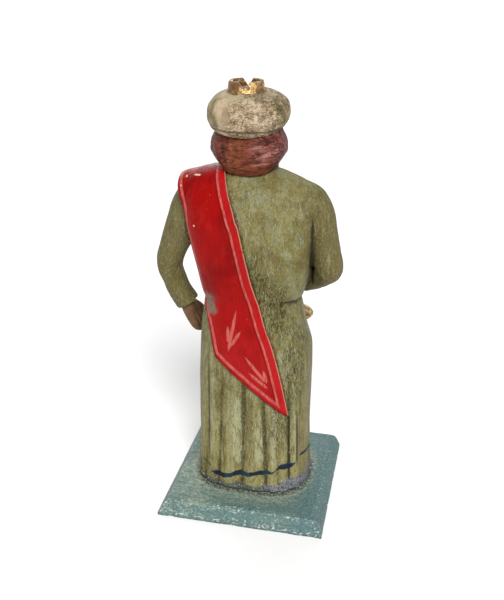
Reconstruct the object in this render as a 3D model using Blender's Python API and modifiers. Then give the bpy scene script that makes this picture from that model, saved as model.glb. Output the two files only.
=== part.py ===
"""Nativity wise man: a carved and painted wooden king on a square bevelled board.

Metres, +Z up. The figure faces -Y and its left hand is at +X. The origin is the centre of the
board's underside. The figure is one block of wood, so its forms are shares of its own height:
they are written in carver's units, of which the figure is 212 tall, measured from its foot.
"""
import math

import bmesh
import bpy
import numpy as np
from mathutils import Vector
from mathutils.bvhtree import BVHTree

# Board
PLINTH_SIDE = 0.088
PLINTH_THICKNESS = 0.0078
PLINTH_UPRIGHT_EDGE = 0.0014
PLINTH_BEVEL_RUN = 0.0046

# Figure
SEAT_GAP = 0.0003
FIGURE_HEIGHT = 0.2119
FIGURE_UNITS = 212.0
UNIT = FIGURE_HEIGHT / FIGURE_UNITS

# Robe: height, half width, depth behind, depth in front, squareness, shift to the figure's left
ROBE = [
    (0.0, 31.0, 25.0, 25.2, 2.9, 0.0),
    (10.0, 30.5, 24.4, 24.6, 2.8, 0.0),
    (34.0, 29.8, 23.2, 23.8, 2.7, 0.0),
    (60.0, 29.8, 22.4, 23.4, 2.6, -0.3),
    (78.0, 29.3, 21.7, 22.6, 2.5, -0.6),
    (90.0, 27.5, 20.8, 21.6, 2.4, 0.5),
    (99.0, 25.8, 19.9, 20.8, 2.4, 0.9),
    (105.0, 24.8, 19.4, 20.4, 2.5, 1.1),
    (110.0, 26.0, 19.9, 21.0, 2.7, 0.7),
    (121.0, 28.0, 20.6, 21.8, 2.9, 0.6),
    (131.0, 29.7, 20.8, 21.8, 3.0, 1.0),
    (145.0, 31.6, 20.4, 20.8, 2.9, 1.8),
    (153.0, 32.4, 19.2, 18.8, 2.6, 2.0),
    (159.0, 32.4, 17.6, 16.8, 2.4, 2.2),
    (163.5, 30.8, 15.8, 15.0, 2.2, 2.4),
    (167.0, 26.6, 13.8, 13.0, 2.1, 2.6),
    (169.7, 20.4, 12.0, 11.2, 2.0, 2.8),
    (172.0, 13.0, 10.6, 9.6, 2.0, 3.0),
    (175.0, 9.2, 9.2, 8.6, 2.0, 3.1),
    (184.0, 8.4, 8.4, 8.0, 2.0, 3.1),
]
# Creases of the skirt: angle at the hem, angle at the waist, depth, height where it ends.
# Angle 0 is straight behind and 90 is the figure's left.
CREASES = [
    (-162.0, -160.0, 1.3, 88.0),
    (-140.0, -141.0, 1.0, 70.0),
    (-117.0, -119.0, 1.3, 84.0),
    (-91.0, -92.0, 0.8, 72.0),
    (-65.0, -64.0, 1.0, 92.0),
    (-50.0, -49.0, 2.2, 82.0),
    (-38.0, -35.0, 0.9, 58.0),
    (-26.0, -20.0, 1.7, 80.0),
    (5.0, 4.0, 1.5, 92.0),
    (35.0, 34.0, 1.5, 90.0),
    (51.0, 49.0, 1.0, 84.0),
    (70.0, 66.0, 1.1, 78.0),
    (91.0, 90.0, 0.8, 70.0),
    (116.0, 118.0, 1.3, 84.0),
    (138.0, 140.0, 1.1, 72.0),
    (158.0, 160.0, 1.4, 86.0),
    (178.0, 179.0, 0.9, 76.0),
]
CREASE_RUN_OUT = 45.0
CREASE_NARROWNESS = 1.3
GATHER_DEPTH = 0.55
GATHER_REACH = 8.0
BELT_HEIGHT = 106.0
BELT_RISE_BEHIND = 3.5
BELT_RISE_REACH = 14.0
BELT_DEPTH = 0.9
BELT_WIDTH = 1.5
BELT_FADE_BEHIND = 0.85
ROBE_ROWS = [0, 2.5, 8, 16, 27, 40, 53, 66, 78, 88, 96, 101, 104.2, 106, 107.8, 111, 117, 125,
             134, 143, 150, 156, 160.5, 164.5, 167.5, 170, 173, 184]
ROBE_COLUMN_ANGLE = 8.0
FEWEST_COLUMNS = 2

# Sleeves: centre x, y, height and radius at each bend, from the shoulder to the cuff
RIGHT_SLEEVE = [
    (-18.5, -1.0, 159.5, 5.0),
    (-22.0, -1.2, 158.2, 8.8),
    (-26.0, -1.4, 154.4, 10.3),
    (-28.8, -1.6, 149.0, 10.2),
    (-31.7, -1.6, 140.0, 9.0),
    (-34.9, -1.4, 130.0, 7.8),
    (-36.8, -1.8, 122.8, 7.2),
    (-34.2, -6.6, 117.6, 6.5),
    (-28.6, -14.2, 112.0, 6.3),
    (-22.0, -21.5, 106.8, 6.2),
]
LEFT_SLEEVE = [
    (22.0, -1.0, 160.0, 5.0),
    (25.5, -1.0, 158.6, 8.8),
    (29.3, -1.2, 155.4, 10.5),
    (32.8, -1.2, 150.0, 10.5),
    (37.6, -0.8, 140.0, 9.2),
    (42.9, -0.6, 129.0, 7.4),
    (45.8, -0.8, 119.0, 6.8),
    (44.0, -2.2, 110.5, 6.3),
    (40.8, -3.6, 101.4, 6.4),
    (37.8, -4.6, 95.8, 6.5),
]
SLEEVE_SIDES = 16
TUBE_STEPS = 2
TUBE_SIDE_REFERENCE = (0.13, 1.0, 0.21)
CUFF_WALL = 1.5
CUFF_DEPTH = 2.5

# Sash over the left shoulder. Each row: how far the cloth has turned over the shoulder, in
# degrees (0 behind, 90 on top, 180 in front), x and height of its inner and outer edge, and
# how far the outer edge stands off the sleeve, as a stiff shoulder.
SASH = [
    (0, -21.4, 46.7, 16.8, 78.3, 0.0),
    (0, -19.4, 58.5, 17.9, 82.0, 0.0),
    (0, -16.6, 72.0, 19.2, 88.0, 0.0),
    (0, -12.8, 86.0, 20.6, 94.0, 0.0),
    (0, -9.0, 97.0, 22.2, 99.5, 0.0),
    (0, -5.4, 109.5, 23.6, 106.0, 0.0),
    (0, -2.2, 120.3, 25.0, 115.0, 0.0),
    (0, 1.3, 135.0, 27.5, 128.0, 0.3),
    (0, 4.9, 149.0, 31.0, 142.0, 0.8),
    (15, 7.3, 151.0, 33.6, 150.0, 1.2),
    (40, 10.2, 151.0, 36.0, 151.0, 2.4),
    (65, 12.5, 151.0, 37.4, 151.0, 3.4),
    (90, 13.6, 151.0, 37.8, 151.0, 3.8),
    (115, 13.9, 151.0, 37.2, 151.0, 3.4),
    (140, 13.2, 151.0, 35.4, 151.0, 2.4),
    (165, 12.3, 150.0, 32.8, 150.0, 1.2),
    (180, 11.4, 142.0, 30.4, 140.0, 0.6),
    (180, 9.6, 127.0, 27.0, 126.0, 0.0),
    (180, 8.2, 112.0, 24.4, 113.0, 0.0),
    (180, 7.2, 100.0, 23.8, 102.0, 0.0),
    (180, 6.2, 84.0, 24.6, 88.0, 0.0),
    (180, 5.0, 66.0, 24.0, 76.0, 0.0),
]
SASH_THICKNESS = 1.7
SASH_BED = 2.6
SASH_COLUMNS = 9
SASH_RAY = 70.0
SASH_SMOOTHINGS = 2
SASH_SMOOTHING_SHARE = 0.5

# Head. The centre is the middle of the skull at the height of the eyes.
HEAD_CENTRE = (3.1, -2.6, 183.0)
HEAD_HALF_WIDTH = 12.4
HEAD_HALF_DEPTH = 15.4
HEAD_HALF_HEIGHT = 17.6
HEAD_COLUMNS = 36
HEAD_ROWS = 24
HEAD_SQUARENESS = 2.5
HEAD_FACE_DETAIL = 0.45
HEAD_BOTTOM = -0.985
HEAD_TOP = 0.75
JAW_TAPER = 0.24
JAW_CURVE = 1.5
FACE_EDGE = (0.15, 0.6)
# Face: how far a form stands out, its place to each side and its width across, then its place
# above the eyes and its width up and down. In order: brows, eye sockets, eyes, cheeks, lips, chin.
FACE_FORMS = [
    (0.7, 5.0, 4.0, 4.4, 1.5),
    (-1.5, 5.1, 3.0, 0.9, 2.2),
    (1.0, 5.2, 2.2, 0.3, 1.4),
    (0.8, 6.6, 2.8, -5.6, 2.8),
    (0.9, 0.0, 2.9, -10.3, 0.9),
    (0.9, 0.0, 2.4, -12.3, 1.0),
    (1.4, 0.0, 3.2, -16.0, 2.0),
]
NOSE_REACH = 3.3
NOSE_WIDTH = 1.5
NOSE_FLARE = 0.16
NOSE_TOP = 4.5
NOSE_TIP = -5.5
NOSE_UNDERSIDE = (-8.4, -6.6)
MOUSTACHE = [
    (3.4, -18.4, 173.6, 0.9),
    (5.6, -17.8, 173.0, 1.5),
    (8.2, -15.6, 171.4, 1.3),
    (10.4, -13.0, 168.8, 0.7),
]
MOUSTACHE_SIDES = 8

# Hair: height, half width, depth behind, depth in front
HAIR = [
    (169.0, 7.0, 8.2, 1.0),
    (170.4, 10.6, 12.2, 3.0),
    (173.4, 13.4, 14.9, 4.6),
    (177.5, 16.4, 16.2, 5.6),
    (181.6, 18.4, 16.5, 6.2),
    (184.6, 18.2, 16.2, 6.4),
    (191.5, 15.2, 13.8, 6.0),
    (196.5, 12.0, 11.0, 5.0),
]
HAIR_SQUARENESS = 2.5
HAIR_SHIFT = 2.9
HAIR_CREASES = [-150.0, -112.0, -84.0, -60.0, -26.0, 16.0, 58.0, 84.0, 112.0, 150.0]
HAIR_CREASE_DEPTH = 0.8
HAIR_CREASE_FOOT = (170.0, 176.0)
HAIR_CREASE_HEAD = (190.0, 184.0)
HAIR_LOCK_COLUMNS = 3

# Beard: height, half width, front, back
BEARD = [
    (153.5, 1.6, -20.2, -15.6),
    (156.0, 4.2, -21.0, -13.4),
    (160.0, 7.2, -21.2, -10.4),
    (165.0, 10.2, -20.0, -7.0),
    (169.0, 12.2, -17.8, -3.0),
    (173.5, 13.5, -14.0, 1.0),
    (179.0, 13.8, -9.4, 2.0),
    (185.0, 13.6, -7.2, 2.0),
]
BEARD_SQUARENESS = 2.2
BEARD_LOCKS = 9
BEARD_LOCK_COLUMNS = 4
BEARD_LOCK_DEPTH = 0.55
BEARD_LOCK_PHASE = 0.8
BEARD_FULL_WIDTH = 8.0

# Turban
TURBAN_CENTRE = (3.6, -0.6, 197.9)
TURBAN_RADIUS = 19.4
TURBAN_HALF_HEIGHT = 10.5
TURBAN_TILT = 0.19
TURBAN_TILT_SHARE = (1.0, 0.4)
TURBAN_ROUNDNESS = 2.35
TURBAN_ROWS = 14
TURBAN_COLUMNS = 36
TURBAN_FOLDS = 5
TURBAN_FOLD_DEPTH = 0.55
TURBAN_FOLD_SLANT = 0.36

# Crown, standing in the turban's top
CROWN_CENTRE = (4.7, -0.4)
CROWN_BASE = 203.5
CROWN_FOOT_RADIUS = 9.3
CROWN_FOOT_TOP = 208.2
CROWN_FOOT_STEP = 1.0
CROWN_RADIUS = 8.6
CROWN_TOP_RADIUS = 8.2
CROWN_WALL = 1.3
CROWN_FLOOR = 206.2
CROWN_NOTCHES = 4
CROWN_NOTCH_WIDTH = 5.0
CROWN_NOTCH_BOTTOM = 208.3
CROWN_NOTCH_TURN = -5.5
CROWN_NOTCH_LENGTH = 8.0
CROWN_SIDES = 32

# Jar in the right hand: height and radius down its outer side, lid to foot
JAR_CENTRE = (-14.2, -30.4)
JAR = [
    (110.6, 0.0), (110.0, 1.2), (108.6, 1.5), (107.4, 1.0), (106.4, 2.6), (104.6, 4.6),
    (103.6, 4.9), (102.6, 4.2), (100.0, 3.6), (93.5, 3.6), (88.6, 4.4), (86.0, 8.0),
    (84.0, 11.4), (83.2, 11.9), (82.4, 11.4), (80.0, 8.0), (76.0, 4.6), (74.0, 3.8),
    (72.8, 4.6), (71.2, 6.0), (70.0, 6.0), (70.0, 0.0),
]
JAR_SIDES = 20

# Right hand, closed round the jar's neck: four fingers stacked round the neck
FIST_BOTTOM = 91.8
FIST_CENTRE = (-13.6, -29.4)
FIST_RADIUS = 5.9
FIST_SIDES = 16
FINGER_THICKNESS = 2.9
FINGER_COUNT = 4
FINGER_STEPS = 4
FINGER_ROLL = 0.2
FINGER_ROUNDNESS = 0.6
FIST_END_SHARE = 0.75
RIGHT_WRIST = [(-22.8, -20.6, 107.4, 4.2), (-18.2, -24.6, 103.8, 4.4), (-15.0, -27.8, 99.0, 5.0)]
WRIST_SIDES = 12
THUMB_SIDES = 8
RIGHT_THUMB = [
    (-12.4, -25.4, 99.0, 2.2),
    (-9.2, -28.4, 100.2, 2.2),
    (-9.6, -32.2, 101.0, 2.0),
    (-12.6, -34.8, 101.2, 1.6),
]

# Left hand, hanging at the hip: centre line of the hand, with half width and half thickness
LEFT_HAND = [
    (40.6, -3.8, 102.5, 3.8, 3.4),
    (38.8, -4.4, 98.0, 4.1, 3.6),
    (36.6, -4.8, 92.6, 5.0, 3.9),
    (34.4, -5.8, 87.0, 5.1, 3.8),
    (32.4, -6.8, 82.2, 4.3, 3.2),
    (31.0, -7.4, 80.2, 2.5, 1.8),
]
LEFT_HAND_TURN = 70.0
LEFT_HAND_SIDES = 24
FINGER_GROOVE = 0.22
FINGER_GROOVE_START = (1.0, 3.0)
LEFT_THUMB = [(34.9, -7.6, 94.2, 2.0), (32.6, -10.2, 91.0, 1.9), (30.8, -11.0, 87.2, 1.5)]

# The exact solver loses the hand where its fingers meet the jar's neck
UNION_SOLVER = "MANIFOLD"
SHARP_ANGLE = 40.0
SCREW_MERGE = 0.00002

COLOURS = {
    "painted_robe": (0.21, 0.21, 0.085, 0.62, 0.0),
    "painted_sash": (0.38, 0.008, 0.012, 0.32, 0.0),
    "painted_skin": (0.42, 0.21, 0.12, 0.5, 0.0),
    "painted_hair": (0.13, 0.032, 0.02, 0.5, 0.0),
    "painted_turban": (0.46, 0.38, 0.25, 0.6, 0.0),
    "gold_leaf": (0.62, 0.33, 0.10, 0.3, 0.9),
    "painted_board": (0.10, 0.17, 0.17, 0.6, 0.0),
}


def curve_through(position, knots):
    """Value at a position of a smooth curve that passes through each knot and never overshoots."""
    places, values = np.array(knots, dtype=float).T
    steps = np.diff(places)
    rises = np.diff(values) / steps
    slopes = np.zeros(len(values))
    slopes[0] = rises[0]
    slopes[-1] = rises[-1]
    for k in range(1, len(values) - 1):
        if rises[k - 1] * rises[k] > 0:
            slopes[k] = 2 * rises[k - 1] * rises[k] / (rises[k - 1] + rises[k])
    position = float(np.clip(position, places[0], places[-1]))
    k = int(np.clip(np.searchsorted(places, position) - 1, 0, len(steps) - 1))
    t = (position - places[k]) / steps[k]
    return float(
        values[k] * (1 + 2 * t) * (1 - t) ** 2
        + values[k + 1] * t * t * (3 - 2 * t)
        + slopes[k] * steps[k] * t * (1 - t) ** 2
        - slopes[k + 1] * steps[k] * t * t * (1 - t)
    )


def column_of(table, key, value):
    """Knots of one column of a table over another."""
    return [(row[key], row[value]) for row in table]


def smooth_step(low, high, value):
    """0 below low, 1 above high, and an S curve between."""
    t = min(max((value - low) / (high - low), 0.0), 1.0)
    return t * t * (3 - 2 * t)


def bump(offset, width):
    """1 at the middle of a bump and 0 well away from it."""
    return math.exp(-((offset / width) ** 2))


def oval_radius(angle, half_width, behind, front, squareness):
    """Distance from the centre to a squared oval, at an angle from straight behind."""
    across = abs(math.sin(angle)) / half_width
    along = abs(math.cos(angle)) / (behind if math.cos(angle) > 0 else front)
    return (across ** squareness + along ** squareness) ** (-1 / squareness)


def to_world(x, y, height):
    """A point in carver's units, as a place above the board."""
    return Vector((x * UNIT, y * UNIT, PLINTH_THICKNESS + SEAT_GAP + height * UNIT))


def make_material(name):
    """Principled material in one colour."""
    red, green, blue, roughness, metallic = COLOURS[name]
    material = bpy.data.materials.new(name)
    material.use_nodes = True
    shader = material.node_tree.nodes["Principled BSDF"]
    shader.inputs["Base Color"].default_value = (red, green, blue, 1.0)
    shader.inputs["Roughness"].default_value = roughness
    shader.inputs["Metallic"].default_value = metallic
    material.diffuse_color = (red, green, blue, 1.0)
    return material


def mesh_object(name, mesh_builder, material, collection):
    """Object from a bmesh, with outward faces and smooth shading."""
    bmesh.ops.recalc_face_normals(mesh_builder, faces=mesh_builder.faces)
    mesh = bpy.data.meshes.new(name)
    mesh_builder.to_mesh(mesh)
    mesh_builder.free()
    mesh.materials.append(material)
    mesh.shade_smooth()
    mesh.set_sharp_from_angle(angle=math.radians(SHARP_ANGLE))
    made = bpy.data.objects.new(name, mesh)
    collection.objects.link(made)
    return made


def loft(name, rings, material, collection):
    """Closed solid through rings of points, each end closed to its ring's middle."""
    builder = bmesh.new()
    loops = [[builder.verts.new(to_world(*point)) for point in ring] for ring in rings]
    count = len(loops[0])
    for lower, upper in zip(loops, loops[1:]):
        for k in range(count):
            after = (k + 1) % count
            builder.faces.new((lower[k], lower[after], upper[after], upper[k]))
    for loop in (loops[0], loops[-1]):
        middle = builder.verts.new(sum((vert.co for vert in loop), Vector()) / count)
        for k in range(count):
            builder.faces.new((loop[k], loop[(k + 1) % count], middle))
    return mesh_object(name, builder, material, collection)


def crease_angle(crease, height):
    """Angle of a crease at a height."""
    share = min(height / BELT_HEIGHT, 1.0)
    return math.radians(crease[0] + (crease[1] - crease[0]) * share)


def crease_depth(crease, height):
    """Depth of a crease at a height: full at the hem, gathered again at the waist."""
    run = smooth_step(crease[3], crease[3] - CREASE_RUN_OUT, height)
    gather = bump(height - BELT_HEIGHT, GATHER_REACH)
    return crease[2] * run + GATHER_DEPTH * gather


def robe_columns():
    """Columns of the robe: the crease before each, the next one, and the share between them."""
    columns = []
    for k, crease in enumerate(CREASES):
        after = CREASES[(k + 1) % len(CREASES)]
        gap = (after[0] - crease[0]) % 360
        count = max(FEWEST_COLUMNS, round(gap / ROBE_COLUMN_ANGLE))
        columns += [(crease, after, step / count) for step in range(count)]
    return columns


def robe_point(crease, after, share, row):
    """A point of the robe's surface between two creases."""
    start = crease_angle(crease, row)
    turn = (crease_angle(after, row) - start) % math.tau
    angle = start + turn * share
    height = row + BELT_RISE_BEHIND * max(0.0, math.cos(angle)) * bump(row - BELT_HEIGHT, BELT_RISE_REACH)
    size = [curve_through(row, column_of(ROBE, 0, k)) for k in range(1, 6)]
    radius = oval_radius(angle, size[0], size[1], size[2], size[3])
    depth = crease_depth(crease, row) * (1 - share) + crease_depth(after, row) * share
    radius -= depth * (1 - math.sin(math.pi * share)) ** CREASE_NARROWNESS
    belt = BELT_DEPTH * (1 - BELT_FADE_BEHIND * max(0.0, math.cos(angle)) ** 2)
    radius -= belt * bump(row - BELT_HEIGHT, BELT_WIDTH)
    return size[4] + radius * math.sin(angle), radius * math.cos(angle), height


def make_robe(material, collection):
    """Body of the robe from the hem to the neck."""
    columns = robe_columns()
    rings = [[robe_point(*column, row) for column in columns] for row in ROBE_ROWS]
    return loft("robe", rings, material, collection)


def tube_rings(path, sides):
    """Rings of a tube along a path of (x, y, height, radius), smoothed between its points."""
    places = [float(k) for k in range(len(path))]
    samples = np.linspace(0, len(path) - 1, (len(path) - 1) * TUBE_STEPS + 1)
    line = [
        [curve_through(s, list(zip(places, [point[k] for point in path]))) for k in range(4)]
        for s in samples
    ]
    return rings_on_line(line, sides)


def rings_on_line(line, sides):
    """Round rings square to a line of (x, y, height, radius)."""
    centres = [Vector(point[:3]) for point in line]
    rings = []
    for k, centre in enumerate(centres):
        ahead = centres[min(k + 1, len(line) - 1)] - centres[max(k - 1, 0)]
        side = ahead.cross(Vector(TUBE_SIDE_REFERENCE)).normalized()
        top = side.cross(ahead).normalized()
        ring = []
        for step in range(sides):
            angle = math.tau * step / sides
            ring.append(centre + line[k][3] * (side * math.cos(angle) + top * math.sin(angle)))
        rings.append(ring)
    return rings


def make_sleeve(name, path, material, collection):
    """Sleeve with an open cuff, its floor sunk in behind the rim."""
    rings = tube_rings(path, SLEEVE_SIDES)
    rim = rings[-1]
    middle = sum(rim, Vector()) / SLEEVE_SIDES
    inward = (Vector(path[-2][:3]) - Vector(path[-1][:3])).normalized()
    inner = [middle + (point - middle) * (1 - CUFF_WALL / path[-1][3]) for point in rim]
    rings.append(inner)
    rings.append([point + inward * CUFF_DEPTH for point in inner])
    return loft(name, rings, material, collection)


def make_tube(name, path, sides, material, collection):
    """Plain rounded tube, such as a wrist or a thumb."""
    return loft(name, tube_rings(path, sides), material, collection)


def sash_direction(turn):
    """Way out of the body at a turn over the shoulder."""
    return Vector((0.0, math.cos(math.radians(turn)), math.sin(math.radians(turn))))


def make_sash(body_tree, material, collection):
    """Sash: a slab laid on the body, from its slanted end behind to its end in front."""
    rows = []
    for turn, inner_x, inner_height, outer_x, outer_height, lift in SASH:
        out = sash_direction(turn)
        row = []
        for column in range(SASH_COLUMNS):
            share = column / (SASH_COLUMNS - 1)
            aim = to_world(
                inner_x + (outer_x - inner_x) * share,
                0.0,
                inner_height + (outer_height - inner_height) * share,
            )
            found = body_tree.ray_cast(aim + out * SASH_RAY * UNIT, -out)[0]
            row.append((aim, out, (found - aim).dot(out), lift * share ** 2 * UNIT))
        rows.append(row)
    reach = np.array([[cell[2] for cell in row] for row in rows])
    for _ in range(SASH_SMOOTHINGS):
        padded = np.pad(reach, 1, mode="edge")
        beside = padded[1:-1, :-2] + padded[1:-1, 2:] + padded[:-2, 1:-1] + padded[2:, 1:-1]
        smoothed = reach * (1 - SASH_SMOOTHING_SHARE) + beside / 4 * SASH_SMOOTHING_SHARE
        reach = np.maximum(reach, smoothed)
    builder = bmesh.new()
    sheets = []
    for offset, stiffness in ((SASH_THICKNESS * UNIT, 1.0), (-SASH_BED * UNIT, 0.0)):
        sheets.append([
            [builder.verts.new(cell[0] + cell[1] * (reach[j, k] + offset + cell[3] * stiffness))
             for k, cell in enumerate(row)]
            for j, row in enumerate(rows)
        ])
    for sheet in sheets:
        for lower, upper in zip(sheet, sheet[1:]):
            for k in range(SASH_COLUMNS - 1):
                builder.faces.new((lower[k], lower[k + 1], upper[k + 1], upper[k]))
    edges = [[sheet[0] for sheet in sheets], [sheet[-1] for sheet in sheets]]
    for top, bottom in edges:
        for k in range(SASH_COLUMNS - 1):
            builder.faces.new((top[k], top[k + 1], bottom[k + 1], bottom[k]))
    for side in (0, -1):
        for j in range(len(rows) - 1):
            builder.faces.new((sheets[0][j][side], sheets[0][j + 1][side],
                               sheets[1][j + 1][side], sheets[1][j][side]))
    return mesh_object("sash", builder, material, collection)


def face_relief(across, height):
    """How far the face stands forward at a place: across from its middle, height from the eyes."""
    side = abs(across)
    nose_width = NOSE_WIDTH - NOSE_FLARE * min(height, 0.0)
    nose = smooth_step(NOSE_TOP, NOSE_TIP, height) * smooth_step(*NOSE_UNDERSIDE, height)
    relief = NOSE_REACH * nose * bump(across, nose_width)
    for reach, place, width, rise, rise_width in FACE_FORMS:
        relief += reach * bump(side - place, width) * bump(height - rise, rise_width)
    return relief


def head_point(turn, rise):
    """A point of the head. Turn is 0 in front and grows to the figure's left."""
    up = math.sin(rise)
    round_share = (1 - abs(up) ** HEAD_SQUARENESS) ** (1 / HEAD_SQUARENESS)
    narrowing = 1 - JAW_TAPER * max(0.0, -up) ** JAW_CURVE
    across = HEAD_HALF_WIDTH * round_share * math.sin(turn) * narrowing
    along = -HEAD_HALF_DEPTH * round_share * math.cos(turn)
    height = HEAD_HALF_HEIGHT * up
    if math.cos(turn) > 0:
        along -= face_relief(across, height) * smooth_step(*FACE_EDGE, math.cos(turn))
    return HEAD_CENTRE[0] + across, HEAD_CENTRE[1] + along, HEAD_CENTRE[2] + height


def make_head(material, collection):
    """Head, with finer columns and rows over the face."""
    turns = [
        math.tau * k / HEAD_COLUMNS - HEAD_FACE_DETAIL * math.sin(math.tau * k / HEAD_COLUMNS)
        for k in range(HEAD_COLUMNS)
    ]
    rises = [math.asin(share) for share in np.linspace(HEAD_BOTTOM, HEAD_TOP, HEAD_ROWS)]
    rings = [[head_point(turn, rise) for turn in turns] for rise in rises]
    return loft("head", rings, material, collection)


def make_hair(material, collection):
    """Hair cut level at the neck, full over the ears, parted by upright creases."""
    angles = []
    for k, start in enumerate(HAIR_CREASES):
        gap = (HAIR_CREASES[(k + 1) % len(HAIR_CREASES)] - start) % 360
        for column in range(HAIR_LOCK_COLUMNS):
            share = column / HAIR_LOCK_COLUMNS
            angles.append((math.radians(start + gap * share), share))
    rings = []
    for height, half_width, behind, front in HAIR:
        ring = []
        for angle, share in angles:
            radius = oval_radius(angle, half_width, behind, front, HAIR_SQUARENESS)
            crease = smooth_step(*HAIR_CREASE_FOOT, height) * smooth_step(*HAIR_CREASE_HEAD, height)
            radius -= HAIR_CREASE_DEPTH * (1 - math.sin(math.pi * share)) * crease
            ring.append((HAIR_SHIFT + radius * math.sin(angle), radius * math.cos(angle), height))
        rings.append(ring)
    return loft("hair", rings, material, collection)


def make_beard(material, collection):
    """Full beard, its locks divided by grooves that run down to its point."""
    sides = BEARD_LOCKS * BEARD_LOCK_COLUMNS
    rings = []
    for height, half_width, front, back in BEARD:
        middle = (front + back) / 2
        half_depth = (back - front) / 2
        ring = []
        for step in range(sides):
            angle = math.tau * step / sides
            wave = abs(math.sin(angle * BEARD_LOCKS / 2 + BEARD_LOCK_PHASE))
            groove = BEARD_LOCK_DEPTH * (1 - wave) * min(1.0, half_width / BEARD_FULL_WIDTH)
            radius = oval_radius(angle, half_width, half_depth, half_depth, BEARD_SQUARENESS)
            radius -= groove
            ring.append((HEAD_CENTRE[0] + radius * math.sin(angle),
                         middle + radius * math.cos(angle), height))
        rings.append(ring)
    return loft("beard", rings, material, collection)


def make_turban(material, collection):
    """Turban: a flattened ball of wound cloth, its turns parted by slanting grooves."""
    rings = []
    for row in range(TURBAN_ROWS):
        rise = math.pi * (row + 0.5) / TURBAN_ROWS - math.pi / 2
        out = math.cos(rise) ** (2 / TURBAN_ROUNDNESS)
        up = math.copysign(abs(math.sin(rise)) ** (2 / TURBAN_ROUNDNESS), rise)
        ring = []
        for column in range(TURBAN_COLUMNS):
            turn = math.tau * column / TURBAN_COLUMNS
            wave = rise * TURBAN_FOLDS / 2 + TURBAN_FOLD_SLANT * TURBAN_FOLDS * math.sin(turn)
            groove = TURBAN_FOLD_DEPTH * (1 - abs(math.sin(wave))) ** 2 * out
            radius = TURBAN_RADIUS * out - groove
            behind = radius * math.cos(turn)
            ring.append((TURBAN_CENTRE[0] + radius * math.sin(turn),
                         TURBAN_CENTRE[1] + behind,
                         TURBAN_CENTRE[2] + TURBAN_HALF_HEIGHT * up
                         - TURBAN_TILT * behind * TURBAN_TILT_SHARE[up > 0]))
        rings.append(ring)
    return loft("turban", rings, material, collection)


def turned(name, centre, profile, sides, material, collection):
    """Turned form: a profile of (height, radius), from the top down its outer side."""
    mesh = bpy.data.meshes.new(name)
    points = [(radius * UNIT, 0.0, height * UNIT) for height, radius in profile]
    mesh.from_pydata(points, [(k, k + 1) for k in range(len(points) - 1)], [])
    mesh.materials.append(material)
    made = bpy.data.objects.new(name, mesh)
    made.location = to_world(centre[0], centre[1], 0.0)
    collection.objects.link(made)
    screw = made.modifiers.new("turn", "SCREW")
    screw.steps = sides
    screw.render_steps = sides
    screw.use_merge_vertices = True
    screw.merge_threshold = SCREW_MERGE
    return made


def make_crown(material, cutter_material, collection):
    """Low crown, flaring at its foot, with V notches between its flat merlons."""
    inside = CROWN_RADIUS - CROWN_WALL
    profile = [
        (CROWN_FLOOR, 0.0),
        (CROWN_FLOOR, inside),
        (FIGURE_UNITS, CROWN_TOP_RADIUS - CROWN_WALL),
        (FIGURE_UNITS, CROWN_TOP_RADIUS),
        (CROWN_FOOT_TOP, CROWN_RADIUS),
        (CROWN_FOOT_TOP - CROWN_FOOT_STEP, CROWN_FOOT_RADIUS),
        (CROWN_BASE, CROWN_FOOT_RADIUS),
        (CROWN_BASE, 0.0),
    ]
    crown = turned("crown", CROWN_CENTRE, profile, CROWN_SIDES, material, collection)
    rise = FIGURE_UNITS - CROWN_NOTCH_BOTTOM
    for k in range(CROWN_NOTCHES):
        turn = math.radians(CROWN_NOTCH_TURN + 360 * k / CROWN_NOTCHES)
        outward = Vector((math.sin(turn), math.cos(turn)))
        sideways = Vector((math.cos(turn), -math.sin(turn)))
        builder = bmesh.new()
        bmesh.ops.create_cone(builder, cap_ends=True, segments=3, radius1=1.0, radius2=1.0,
                              depth=1.0)
        for vert in builder.verts:
            across, tip, along = vert.co
            share = (1 + tip * 2) / 3
            place = Vector(CROWN_CENTRE) + outward * (CROWN_RADIUS + along * CROWN_NOTCH_LENGTH)
            place += sideways * (across * 2 / math.sqrt(3) * CROWN_NOTCH_WIDTH)
            vert.co = to_world(*place, CROWN_NOTCH_BOTTOM + (1 - share) * 2 * rise)
        notch = mesh_object(f"crown_notch_{k + 1}", builder, cutter_material, collection)
        combine(crown, notch, "DIFFERENCE", "EXACT")
    return crown


def make_fist(material, collection):
    """Right hand closed round the neck of the jar."""
    steps = FINGER_COUNT * FINGER_STEPS
    top = FIST_BOTTOM + FINGER_COUNT * FINGER_THICKNESS
    profile = [(top, 0.0)]
    for step in range(steps + 1):
        share = step / steps
        roll = abs(math.sin(math.pi * FINGER_COUNT * share)) ** FINGER_ROUNDNESS
        radius = FIST_RADIUS * (1 - FINGER_ROLL * (1 - roll))
        if step in (0, steps):
            radius *= FIST_END_SHARE
        profile.append((top - FINGER_COUNT * FINGER_THICKNESS * share, radius))
    profile.append((FIST_BOTTOM, 0.0))
    return turned("fist", FIST_CENTRE, profile, FIST_SIDES, material, collection)


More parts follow.
